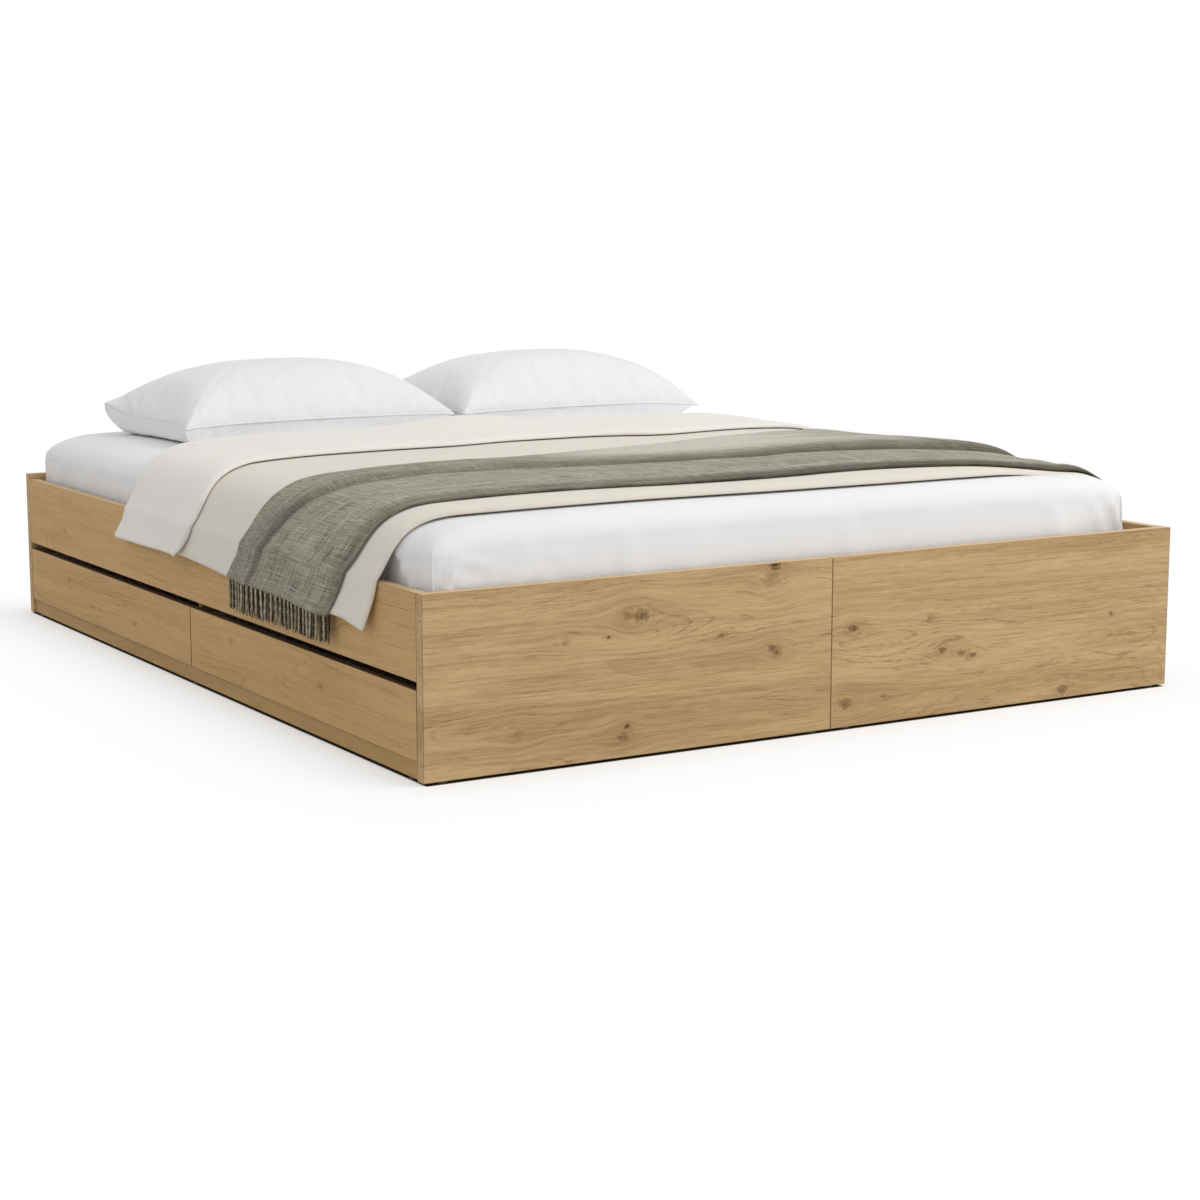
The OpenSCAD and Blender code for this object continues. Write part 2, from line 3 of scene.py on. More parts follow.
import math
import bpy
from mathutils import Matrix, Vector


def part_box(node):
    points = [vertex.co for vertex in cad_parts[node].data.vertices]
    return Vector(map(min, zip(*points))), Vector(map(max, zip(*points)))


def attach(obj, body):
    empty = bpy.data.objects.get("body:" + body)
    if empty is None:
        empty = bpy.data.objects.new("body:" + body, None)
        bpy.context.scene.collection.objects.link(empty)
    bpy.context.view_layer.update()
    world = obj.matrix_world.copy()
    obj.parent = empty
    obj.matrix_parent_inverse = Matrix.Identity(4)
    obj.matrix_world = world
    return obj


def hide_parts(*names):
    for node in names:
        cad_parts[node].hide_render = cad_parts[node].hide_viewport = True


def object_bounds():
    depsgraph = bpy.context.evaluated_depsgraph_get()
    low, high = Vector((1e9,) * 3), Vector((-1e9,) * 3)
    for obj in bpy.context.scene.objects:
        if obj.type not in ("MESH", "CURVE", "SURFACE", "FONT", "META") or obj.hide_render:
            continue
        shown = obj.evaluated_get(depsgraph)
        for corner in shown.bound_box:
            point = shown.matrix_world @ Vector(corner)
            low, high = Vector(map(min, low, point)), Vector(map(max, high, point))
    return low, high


bl_info = {
    "name": "Platform bed dressing",
    "version": (1, 0, 0),
    "blender": (4, 5, 0),
    "location": "View3D > Sidebar > Bed",
    "description": "Finishes the boards and makes the bedding of a platform bed round its packed frame",
    "category": "Object",
}

import bmesh
import bpy
import numpy as np
from bpy.props import FloatProperty, FloatVectorProperty, PointerProperty
from mathutils import Vector, noise
from mathutils.geometry import interpolate_bezier

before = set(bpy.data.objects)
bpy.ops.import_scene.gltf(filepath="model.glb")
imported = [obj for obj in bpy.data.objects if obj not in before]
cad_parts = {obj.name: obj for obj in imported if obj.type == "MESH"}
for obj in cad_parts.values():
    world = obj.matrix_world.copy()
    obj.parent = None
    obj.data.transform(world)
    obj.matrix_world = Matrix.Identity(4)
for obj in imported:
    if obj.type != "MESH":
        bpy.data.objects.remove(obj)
cad_low, cad_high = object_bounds()

# Planes of the bed, read from the frame
BOARD_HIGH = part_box("footboard_right")[1]
MATTRESS_LOW, MATTRESS_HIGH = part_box("mattress")
HALF_WIDTH = BOARD_HIGH.x
BED_TOP = MATTRESS_HIGH.z
# The body that carries the bedding, and the drawers
ROOT = "root"
DRAWERS = ("foot_left_drawer", "head_left_drawer", "foot_right_drawer", "head_right_drawer")
# Sets which stretch of the smooth noise wave() reads
SEED = 7


# ------------------------------------------------------------------ sizes and colours


def colour(name, description, default):
    """A colour property."""
    return FloatVectorProperty(
        name=name, description=description, default=default, subtype="COLOR", size=3, min=0, max=1
    )


def length(name, description, default):
    """A length property, in metres."""
    return FloatProperty(name=name, description=description, default=default, unit="LENGTH", min=0)


class BedWood(bpy.types.PropertyGroup):
    """Colours of the boards."""

    light: colour("Light grain", "Oak between the growth lines", (0.622, 0.435, 0.231))
    middle: colour("Middle grain", "Oak of the broad growth bands", (0.400, 0.258, 0.122))
    line: colour("Growth lines", "Fine dark lines along the grain", (0.240, 0.130, 0.052))
    knot: colour("Knots", "Heart of a knot", (0.050, 0.024, 0.011))
    halo: colour("Figure", "Warmer wood beside a knot", (0.340, 0.196, 0.088))
    joint: colour("Joints", "Dark line along the boards' edges", (0.120, 0.076, 0.036))
    # Painted shade: a drawer front's dark upper face stands in for the shadow in the gap above it
    gap: colour("Gap", "Stained edge in the gap above a drawer", (0.066, 0.040, 0.021))
    # Painted highlight: the lighter upper face of the boards, where the light falls from above
    top_highlight: colour("Upper edges", "Edging on top of the boards", (0.700, 0.520, 0.310))
    pine: colour("Deck wood", "Planed softwood of the deck and ledgers", (0.680, 0.500, 0.290))
    board_white: colour("Drawer board", "White facing of the drawer boxes", (0.780, 0.770, 0.740))


class BedCloth(bpy.types.PropertyGroup):
    """Sizes and colours of the bedding."""

    sheet: colour("Fitted sheet", "Cotton round the mattress", (0.852, 0.853, 0.860))
    pillow: colour("Pillowcase", "Sateen of the pillowcases", (0.858, 0.859, 0.866))
    duvet: colour("Duvet", "Outer side of the duvet", (0.772, 0.722, 0.634))
    duvet_inside: colour("Duvet inside", "Side of the duvet that is turned back", (0.858, 0.830, 0.776))
    yarn: colour("Throw yarn", "Middle tone of the throw's yarn", (0.345, 0.325, 0.252))
    yarn_light: colour("Light yarn", "Light tone of the throw's yarn", (0.640, 0.612, 0.500))
    # Also the colour of a painted highlight on the throw's head side and along its fold
    yarn_pale: colour("Pale yarn", "Yarn of the throw's thin side and selvedge", (0.740, 0.710, 0.620))
    yarn_dark: colour("Dark yarn", "Dark tone of the throw's yarn", (0.120, 0.112, 0.078))
    duvet_thickness: length("Duvet thickness", "Thickness of the duvet", 0.010)
    throw_thickness: length("Throw thickness", "Thickness of the woven throw", 0.0045)
    fringe_length: length("Fringe length", "Length of a twisted strand below the hem", 0.064)
    fringe_pitch: length("Fringe pitch", "Distance between two front strands", 0.0195)
    strand_width: length("Strand width", "Diameter of a twisted strand", 0.0052)
    seam_width: length("Seam width", "Diameter of the sheet and pillow seams", 0.0044)
    fold_height: length("Fold height", "Height of the throw's main fold", 0.012)


class BedStage(bpy.types.PropertyGroup):
    """Camera and light."""

    focal: FloatProperty(name="Focal length", description="On a 36 mm frame", default=71.4, unit="CAMERA")
    yaw: FloatProperty(
        name="Turn",
        description="Camera's turn from +Y towards +X",
        default=math.radians(31.15),
        subtype="ANGLE",
    )
    pitch: FloatProperty(
        name="Tilt",
        description="Camera's tilt below the horizon",
        default=math.radians(9.12),
        subtype="ANGLE",
    )
    place: FloatVectorProperty(
        name="Camera place",
        description="Place of the camera",
        default=(-2.5585, -4.4455, 0.9251),
        unit="LENGTH",
    )
    sky: FloatProperty(name="Sky", description="Strength of the even light from all round", default=0.72)
    key: FloatProperty(name="Key", description="Power of the large lamp", default=135, unit="POWER")
    fill: FloatProperty(name="Fill", description="Power of the foot end's lamp", default=14, unit="POWER")


# ------------------------------------------------------------------ node helpers


class Nodes:
    """Short calls for adding and joining shader nodes in one tree."""

    def __init__(self, tree):
        self.tree = tree

    def add(self, kind, **values):
        """A new node with its settings."""
        node = self.tree.nodes.new("ShaderNode" + kind)
        for key, value in values.items():
            setattr(node, key, value)
        return node

    def put(self, value, socket):
        """Joins a socket to another, or sets the socket's own value."""
        if isinstance(value, bpy.types.NodeSocket):
            self.tree.links.new(value, socket)
        else:
            socket.default_value = value

    def math(self, operation, a, b=0.0, c=0.0, clamp=False):
        """The result of a calculation with numbers, clamped to 0 to 1 if asked."""
        node = self.add("Math", operation=operation, use_clamp=clamp)
        for value, socket in zip((a, b, c), node.inputs):
            self.put(value, socket)
        return node.outputs[0]

    def vector(self, operation, a, b=(0, 0, 0)):
        """The result of a calculation with vectors."""
        node = self.add("VectorMath", operation=operation)
        self.put(a, node.inputs[0])
        self.put(b, node.inputs[1])
        return node.outputs["Value" if operation == "LENGTH" else "Vector"]

    def ramp(self, value, low, high, to_low=0.0, to_high=1.0, smooth=True):
        """Maps a value from one range to another, and clamps it."""
        node = self.add("MapRange", interpolation_type="SMOOTHSTEP" if smooth else "LINEAR")
        for v, socket in zip((value, low, high, to_low, to_high), node.inputs):
            self.put(v, socket)
        return node.outputs[0]

    def mix(self, share, a, b, kind="RGBA", blend="MIX"):
        """Mixes b into a by its share, as colours, or as numbers where kind is FLOAT."""
        node = self.add("Mix", data_type=kind, blend_type=blend)
        # The node has its sockets once for each kind of data
        first, second, result = {"RGBA": (6, 7, 2), "FLOAT": (2, 3, 0)}[kind]
        self.put(share, node.inputs[0])
        self.put(as_colour(a) if kind == "RGBA" else a, node.inputs[first])
        self.put(as_colour(b) if kind == "RGBA" else b, node.inputs[second])
        return node.outputs[result]

    def tinted(self, base, tint):
        """A colour multiplied by a tint."""
        return self.mix(1.0, base, tint, blend="MULTIPLY")

    def noise(self, vector, scale=1.0, detail=2.0, roughness=0.5):
        """Cloudy variation round one half."""
        node = self.add("TexNoise")
        self.put(vector, node.inputs["Vector"])
        for key, value in (("Scale", scale), ("Detail", detail), ("Roughness", roughness)):
            self.put(value, node.inputs[key])
        return node.outputs["Fac"]

    def scaled(self, vector, factors):
        """A vector with each part multiplied by its factor."""
        return self.vector("MULTIPLY", vector, factors)

    def split(self, vector):
        """The three parts of a vector."""
        node = self.add("SeparateXYZ")
        self.put(vector, node.inputs[0])
        return node.outputs

    def join(self, x, y, z=0.0):
        """A vector from its parts."""
        node = self.add("CombineXYZ")
        for value, socket in zip((x, y, z), node.inputs):
            self.put(value, socket)
        return node.outputs[0]

    def group(self, name, **values):
        """The outputs of a shared effect, with its inputs given by name."""
        node = self.add("Group")
        node.node_tree = bpy.data.node_groups[name]
        for key, value in values.items():
            self.put(value, node.inputs[key])
        return node.outputs


def as_colour(value):
    """A colour property as the four numbers that a socket takes."""
    if isinstance(value, bpy.types.NodeSocket) or len(value) == 4:
        return value
    return (*value, 1.0)


def new_group(name, inputs, outputs):
    """An empty shader node group: inputs are (name, kind, default), and outputs are (name, kind)."""
    tree = bpy.data.node_groups.new(name, "ShaderNodeTree")
    for label, kind, default in inputs:
        socket = tree.interface.new_socket(label, in_out="INPUT", socket_type="NodeSocket" + kind)
        socket.default_value = default
    for label, kind in outputs:
        tree.interface.new_socket(label, in_out="OUTPUT", socket_type="NodeSocket" + kind)
    start = tree.nodes.new("NodeGroupInput")
    end = tree.nodes.new("NodeGroupOutput")
    return Nodes(tree), start.outputs, end.inputs


def new_material(name):
    """A material with its shader, as (material, node calls, the shader's inputs)."""
    material = bpy.data.materials.new(name)
    material.use_nodes = True
    shader = material.node_tree.nodes["Principled BSDF"]
    return material, Nodes(material.node_tree), shader.inputs


def bump(nodes, height, shader_inputs, distance, strength):
    """Feeds a height in shares of distance, in metres, to the shader's normal."""
    node = nodes.add("Bump")
    nodes.put(height, node.inputs["Height"])
    node.inputs["Distance"].default_value = distance
    node.inputs["Strength"].default_value = strength
    nodes.put(node.outputs[0], shader_inputs["Normal"])


# ------------------------------------------------------------------ shared effects


def make_knot_group():
    """One knot: bends the grain round it, and masks its cracked heart, its rings and the figure beside it.

    X runs along the grain, and Y across it."""
    n, given, out = new_group(
        "oak knot",
        [("Vector", "Vector", (0, 0, 0)), ("Centre", "Vector", (0, 0, 0)), ("Radius", "Float", 0.01)],
        [("Bend", "Float"), ("Heart", "Float"), ("Ring", "Float"), ("Halo", "Float")],
    )
    ragged = n.noise(n.scaled(given["Vector"], (55, 95, 55)), 1.0, 3.0, 0.6)
    cracks = n.noise(n.scaled(given["Vector"], (210, 260, 210)), 1.0, 2.0, 0.6)
    streaks = n.noise(n.scaled(given["Vector"], (34, 170, 34)), 1.0, 2.0, 0.6)
    x, y, _ = n.split(n.vector("SUBTRACT", given["Vector"], given["Centre"]))
    across = n.math("DIVIDE", y, given["Radius"])
    along = n.math("DIVIDE", x, n.math("MULTIPLY", given["Radius"], 1.5))
    across_2 = n.math("MULTIPLY", across, across)
    along_2 = n.math("MULTIPLY", along, along)
    reach = n.math("SQRT", n.math("ADD", across_2, along_2))
    bent = n.math("EXPONENT", n.math("MULTIPLY", n.math("ADD", across_2, along_2), -0.085))
    n.put(n.math("MULTIPLY", n.math("MULTIPLY", y, bent), -0.72), out["Bend"])
    reach = n.math("ADD", reach, n.math("MULTIPLY", n.math("SUBTRACT", ragged, 0.5), 1.7))
    heart = n.ramp(reach, 0.45, 1.05, 1.0, 0.0)
    n.put(n.math("MULTIPLY", heart, n.ramp(cracks, 0.36, 0.60, 0.40, 1.0)), out["Heart"])
    rings = n.ramp(n.math("SINE", n.math("MULTIPLY", reach, 9.0)), 0.1, 0.9)
    n.put(n.math("MULTIPLY", rings, n.ramp(reach, 1.0, 2.7, 0.75, 0.0)), out["Ring"])
    flat_reach = n.math("ADD", n.math("MULTIPLY", along_2, 0.055), n.math("MULTIPLY", across_2, 0.20))
    halo = n.math("EXPONENT", n.math("MULTIPLY", flat_reach, -1.0))
    n.put(n.math("MULTIPLY", halo, n.ramp(streaks, 0.34, 0.66, 0.15, 1.0)), out["Halo"])


def make_grain_group():
    """Growth lines, fibres and figure of a flat-sawn board. X runs along the grain, and Y across it."""
    n, given, out = new_group(
        "oak grain",
        [("Vector", "Vector", (0, 0, 0)), ("Bend", "Float", 0.0)],
        [("Line", "Float"), ("Band", "Float"), ("Height", "Float")],
    )
    x, y, z = n.split(given["Vector"])
    given_y = n.math("ADD", y, given["Bend"])
    jag = n.noise(n.scaled(given["Vector"], (20, 60, 60)), 1.0, 2.0, 0.6)
    y = n.math("ADD", given_y, n.math("MULTIPLY", n.math("SUBTRACT", jag, 0.5), 0.006))
    p = n.join(x, y, z)
    # Growth lines, which close into flames, are drawn as rows of short dashes and fade in and out
    wander = n.noise(n.scaled(p, (0.9, 5.0, 5.0)), 1.0, 2.0, 0.45)
    field = n.math("ADD", n.math("MULTIPLY", y, 22.0), n.math("MULTIPLY", wander, 12.0))
    saw = n.math("FRACT", field)
    line = n.math("MULTIPLY", n.ramp(saw, 0.80, 0.96), n.ramp(saw, 0.96, 1.0, 1.0, 0.0))
    fine_saw = n.math("FRACT", n.math("MULTIPLY", field, 4.0))
    fine = n.math("MULTIPLY", n.ramp(fine_saw, 0.62, 0.92), n.ramp(fine_saw, 0.92, 1.0, 1.0, 0.0))
    zone = n.ramp(n.noise(n.scaled(p, (2.4, 12, 12)), 1.0, 2.0, 0.6), 0.48, 0.64)
    dash = n.ramp(n.noise(n.scaled(p, (40, 260, 260)), 1.0, 2.0, 0.65), 0.44, 0.62)
    lines = n.math("ADD", line, n.math("MULTIPLY", fine, 0.90))
    lines = n.math("MULTIPLY", n.math("MULTIPLY", lines, zone), n.ramp(dash, 0.0, 1.0, 0.25, 1.0))
    # Fibres run the whole board, long and short, dark and pale
    straight = n.join(x, given_y, z)
    fibre = n.noise(n.scaled(straight, (5.0, 230, 230)), 1.0, 3.0, 0.62)
    short = n.noise(n.scaled(p, (26, 330, 330)), 1.0, 2.0, 0.6)
    pores = n.ramp(n.noise(n.scaled(straight, (24, 800, 800)), 1.0, 1.0, 0.5), 0.58, 0.72)
    fleck = n.math("MULTIPLY", n.ramp(short, 0.58, 0.70), n.ramp(zone, 0.0, 1.0, 0.30, 1.0))
    lines = n.math("ADD", lines, n.math("MULTIPLY", fleck, 0.75))
    lines = n.math("ADD", lines, n.math("MULTIPLY", n.ramp(fibre, 0.58, 0.72), 0.40))
    n.put(n.math("ADD", lines, n.math("MULTIPLY", pores, 0.20), clamp=True), out["Line"])
    # Broad soft bands lie under them
    tone = n.noise(n.scaled(p, (0.7, 7, 7)), 1.0, 3.0, 0.55)
    broad = n.noise(n.scaled(straight, (1.6, 34, 34)), 1.0, 2.0, 0.55)
    band = 0.66
    for value, share in ((tone, 1.5), (broad, 1.2), (fibre, 2.0), (short, 1.4), (saw, 0.22)):
        band = n.math("ADD", band, n.math("MULTIPLY", n.math("SUBTRACT", value, 0.5), share))
    n.put(n.math("ADD", band, 0.0, clamp=True), out["Band"])
    n.put(n.math("SUBTRACT", n.math("MULTIPLY", fibre, 0.5), lines), out["Height"])


def make_edge_group():
    """Masks the edges of a board that fills the box from Low to High, and its upper face."""
    n, given, out = new_group(
        "board edge",
        [("Vector", "Vector", (0, 0, 0)), ("Low", "Vector", (0, 0, 0)), ("High", "Vector", (1, 1, 1))],
        [("Edge", "Float"), ("Top", "Float")],
    )
    from_low = n.split(n.vector("SUBTRACT", given["Vector"], given["Low"]))
    from_high = n.split(n.vector("SUBTRACT", given["High"], given["Vector"]))
    a, b, c = (n.math("MINIMUM", low, high) for low, high in zip(from_low, from_high))
    # One of the three distances is nought on a face, and the next one is the distance to its nearest edge
    nearest = n.math("MAXIMUM", n.math("MINIMUM", a, b), n.math("MINIMUM", n.math("MAXIMUM", a, b), c))
    n.put(n.ramp(nearest, 0.0004, 0.0016, 1.0, 0.0), out["Edge"])
    n.put(n.ramp(from_high[2], 0.0004, 0.0012, 1.0, 0.0), out["Top"])


def make_weave_group():
    """A plain weave on a cloth's own map, in metres: Threads is the count of threads per metre."""
    n, given, out = new_group(
        "plain weave",
        [("Vector", "Vector", (0, 0, 0)), ("Threads", "Float", 300.0), ("Slub", "Float", 0.2)],
        [("Height", "Float"), ("Tone", "Float")],
    )
    drift = n.noise(given["Vector"], 9.0, 2.0)
    u, v, _ = n.split(given["Vector"])
    wobble = n.math("MULTIPLY", n.math("SUBTRACT", drift, 0.5), n.math("MULTIPLY", given["Slub"], 0.02))
    u = n.math("MULTIPLY", n.math("ADD", u, wobble), given["Threads"])
    v = n.math("MULTIPLY", n.math("ADD", v, wobble), given["Threads"])
    over = n.math("MODULO", n.math("ADD", n.math("FLOOR", u), n.math("FLOOR", v)), 2.0)
    warp = n.math("ABSOLUTE", n.math("SINE", n.math("MULTIPLY", u, math.pi)))
    weft = n.math("ABSOLUTE", n.math("SINE", n.math("MULTIPLY", v, math.pi)))
    height = n.mix(n.math("ABSOLUTE", over), warp, weft, "FLOAT")
    tone = n.math(
        "ADD",
        n.noise(n.join(n.math("MULTIPLY", u, 0.05), v), 1.0, 1.0),
        n.noise(n.join(u, n.math("MULTIPLY", v, 0.05)), 1.0, 1.0),
    )
    n.put(height, out["Height"])
    n.put(n.math("MULTIPLY", tone, 0.5), out["Tone"])


def make_dust_group():
    """Soft, cloudy variation that keeps a plain surface from looking drawn."""
    n, given, out = new_group(
        "soft variation",
        [("Vector", "Vector", (0, 0, 0)), ("Scale", "Float", 10.0)],
        [("Tone", "Float"), ("Fine", "Float")],
    )
    n.put(n.noise(given["Vector"], given["Scale"], 3.0, 0.55), out["Tone"])
    n.put(n.noise(given["Vector"], n.math("MULTIPLY", given["Scale"], 40.0), 2.0, 0.6), out["Fine"])


# ------------------------------------------------------------------ wood and metal finishes


def grain_vector(n, along, offset):
    """Object coordinates turned so that X runs along the grain and Y up the board, then moved."""
    place = n.add("TexCoord").outputs["Object"]
    x, y, z = n.split(place)
    p = n.join(x, z, y) if along == "x" else n.join(y, z, x)
    return n.vector("ADD", p, offset)


# How far the details of the oak cover the wood under them
LINE_SHARE, HALO_SHARE, RING_SHARE, JOINT_SHARE = 0.62, 0.46, 0.50, 0.55
# How far the painted highlight on a board's upper face, and the painted gap shade on a drawer front's,
# cover the wood
LIT_TOP_SHARE, GAP_SHADE_SHARE = 0.75, 0.95


def oak_material(name, along, offset, knots=(), tint=None, box=None, gap_shade_top=False, figure=1.0):
    """Knotty oak laminate. A knot is (place along the board, height, radius, strength), in metres.

    The board's edges are drawn if its box is given. Its upper face then gets a painted highlight; on a
    drawer front it is painted dark instead, as the shade in the gap above it. figure sets how strongly the
    grain shows."""
    wood = bpy.context.scene.bed_wood
    material, n, shader = new_material(name)
    p = grain_vector(n, along, offset)
    bend, heart, ring, halo = 0.0, 0.0, 0.0, 0.0
    flat = n.scaled(p, (1, 1, 0))
    for place, height, radius, strength in knots:
        centre = (place + offset[0], height + offset[1], 0.0)
        knot = n.group("oak knot", Vector=flat, Centre=centre, Radius=radius)
        bend = n.math("ADD", knot["Bend"], bend)
        heart = n.math("MAXIMUM", n.math("MULTIPLY", knot["Heart"], strength), heart)
        ring = n.math("MAXIMUM", n.math("MULTIPLY", knot["Ring"], strength), ring)
        halo = n.math("MAXIMUM", n.math("MULTIPLY", knot["Halo"], min(1.0, strength + 0.2)), halo)
    grain = n.group("oak grain", Vector=p, Bend=bend)
    base = n.mix(n.math("MULTIPLY_ADD", grain["Band"], figure, 1 - figure), wood.middle, wood.light)
    base = n.mix(n.math("MULTIPLY", grain["Line"], LINE_SHARE * figure), base, wood.line)
    if knots:
        base = n.mix(n.math("MULTIPLY", halo, HALO_SHARE), base, wood.halo)
        base = n.mix(n.math("MULTIPLY", ring, RING_SHARE), base, wood.line)
        base = n.mix(heart, base, wood.knot)
    # A tint: on the side boards and plinths it is partly their own tone and partly painted shade
    if tint:
        base = n.tinted(base, tint)
    if box:
        edges = n.group("board edge", Vector=n.add("TexCoord").outputs["Object"], Low=box[0], High=box[1])
        # A drawer front's upper face gets painted shade, as in the gap above it; the other boards' upper
        # faces get a painted highlight
        top = (wood.gap, GAP_SHADE_SHARE) if gap_shade_top else (wood.top_highlight, LIT_TOP_SHARE)
        base = n.mix(n.math("MULTIPLY", edges["Top"], top[1]), base, top[0])
        base = n.mix(n.math("MULTIPLY", edges["Edge"], JOINT_SHARE), base, wood.joint)
    n.put(base, shader["Base Color"])
    n.put(n.ramp(grain["Line"], 0.0, 1.0, 0.64, 0.78), shader["Roughness"])
    shader["Specular IOR Level"].default_value = 0.10
    height = n.math("SUBTRACT", grain["Height"], n.math("MULTIPLY", heart, 0.8))
    bump(n, height, shader, distance=0.0004, strength=0.35)
    return material


def plain_wood_material(name, along, base_colour, line_share):
    """Planed softwood, or a board with an even facing."""
    material, n, shader = new_material(name)
    p = grain_vector(n, along, (0.37, 0.21, 0.11))
    grain = n.group("oak grain", Vector=p, Bend=0.0)
    darker = tuple(c * 0.72 for c in base_colour)
    base = n.mix(n.math("MULTIPLY", grain["Band"], 0.25), base_colour, darker)
    base = n.mix(n.math("MULTIPLY", grain["Line"], line_share), base, tuple(c * 0.5 for c in base_colour))
    n.put(base, shader["Base Color"])
    n.put(n.ramp(grain["Band"], 0.0, 1.0, 0.5, 0.66), shader["Roughness"])
    shader["Specular IOR Level"].default_value = 0.3
    bump(n, grain["Height"], shader, distance=0.0004, strength=0.3)
    return material


def faced_board_material(name, base_colour):
    """White facing of the drawer boxes: fine orange-peel texture and faint smudges."""
    material, n, shader = new_material(name)
    place = n.add("TexCoord").outputs["Object"]
    cloud = n.group("soft variation", Vector=place, Scale=9.0)
    smudge = tuple(c * 0.86 for c in base_colour)
    base = n.mix(n.math("MULTIPLY", cloud["Tone"], 0.22), base_colour, smudge)
    n.put(base, shader["Base Color"])
    n.put(n.ramp(cloud["Tone"], 0.3, 0.7, 0.34, 0.46), shader["Roughness"])
    bump(n, cloud["Fine"], shader, distance=0.0002, strength=0.25)
    return material


def metal_material(name, base_colour, roughness, brushed):
    """Zinc-plated or bright steel. If it is brushed, the fine lines run along X, as the runners do."""
    material, n, shader = new_material(name)
    place = n.add("TexCoord").outputs["Object"]
    cloud = n.group("soft variation", Vector=place, Scale=22.0)
    lines = n.noise(n.scaled(place, (12, 700, 700) if brushed else (240, 240, 240)), 1.0, 2.0)
    shader["Metallic"].default_value = 1.0
    dull = tuple(c * 0.72 for c in base_colour)
    base = n.mix(n.math("MULTIPLY", cloud["Tone"], 0.5), base_colour, dull)
    n.put(base, shader["Base Color"])
    n.put(n.ramp(lines, 0.2, 0.8, roughness, roughness + 0.16), shader["Roughness"])
    bump(n, lines, shader, distance=0.0002, strength=0.2)
    return material


def plastic_material(name, base_colour):
    """Matt moulded plastic."""
    material, n, shader = new_material(name)
    place = n.add("TexCoord").outputs["Object"]
    cloud = n.group("soft variation", Vector=place, Scale=60.0)
    n.put(n.mix(cloud["Tone"], base_colour, tuple(c * 1.7 for c in base_colour)), shader["Base Color"])
    n.put(n.ramp(cloud["Fine"], 0.3, 0.7, 0.5, 0.68), shader["Roughness"])
    bump(n, cloud["Fine"], shader, distance=0.0002, strength=0.3)
    return material


# ------------------------------------------------------------------ cloth finishes


def cotton_material(name, base_colour, threads, sheen, on_map):
    """Plain-woven cotton. It reads the cloth's own map, or the object's coordinates if it has none."""
    material, n, shader = new_material(name)
    source = n.add("TexCoord")
    place = source.outputs["Object"]
    cloth = source.outputs["UV"] if on_map else place
    weave = n.group("plain weave", Vector=cloth, Threads=threads, Slub=0.3)
    cloud = n.group("soft variation", Vector=place, Scale=3.5)
    tone = n.math("MULTIPLY", n.math("SUBTRACT", weave["Tone"], 0.5), 0.5)
    shade = n.math("ADD", n.ramp(cloud["Tone"], 0.3, 0.7, 0.02, 0.14), tone, clamp=True)
    n.put(n.mix(shade, base_colour, tuple(c * 0.8 for c in base_colour)), shader["Base Color"])
    n.put(n.ramp(weave["Height"], 0.0, 1.0, 0.9, 0.78), shader["Roughness"])
    shader["Sheen Weight"].default_value = sheen
    shader["Sheen Roughness"].default_value = 0.5
    shader["Specular IOR Level"].default_value = 0.25
    fine = n.math("ADD", n.math("MULTIPLY", weave["Height"], 0.5), n.math("MULTIPLY", cloud["Fine"], 0.6))
    bump(n, fine, shader, distance=0.0004, strength=0.35)
    return material


def duvet_material():
    """Washed cotton of the duvet. Its paler inside shows where the attribute fold_shade is 1."""
    cloth = bpy.context.scene.bed_cloth
    material, n, shader = new_material("washed cream cotton")
    source = n.add("TexCoord")
    weave = n.group("plain weave", Vector=source.outputs["UV"], Threads=1300.0, Slub=0.3)
    cloud = n.group("soft variation", Vector=source.outputs["Object"], Scale=3.5)
    inside = n.add("Attribute", attribute_name="fold_shade").outputs["Fac"]
    base = n.mix(inside, cloth.duvet, cloth.duvet_inside)
    tone = n.math("MULTIPLY", n.math("SUBTRACT", weave["Tone"], 0.5), 0.5)
    shade = n.math("ADD", n.ramp(cloud["Tone"], 0.3, 0.7, 0.0, 0.12), tone, clamp=True)
    n.put(n.mix(shade, base, n.tinted(base, (0.80, 0.79, 0.77))), shader["Base Color"])
    n.put(n.ramp(weave["Height"], 0.0, 1.0, 0.92, 0.82), shader["Roughness"])
    shader["Sheen Weight"].default_value = 0.12
    shader["Sheen Roughness"].default_value = 0.5
    shader["Specular IOR Level"].default_value = 0.2
    fine = n.math("ADD", n.math("MULTIPLY", weave["Height"], 0.4), n.math("MULTIPLY", cloud["Fine"], 0.7))
    bump(n, fine, shader, distance=0.0004, strength=0.35)
    return material


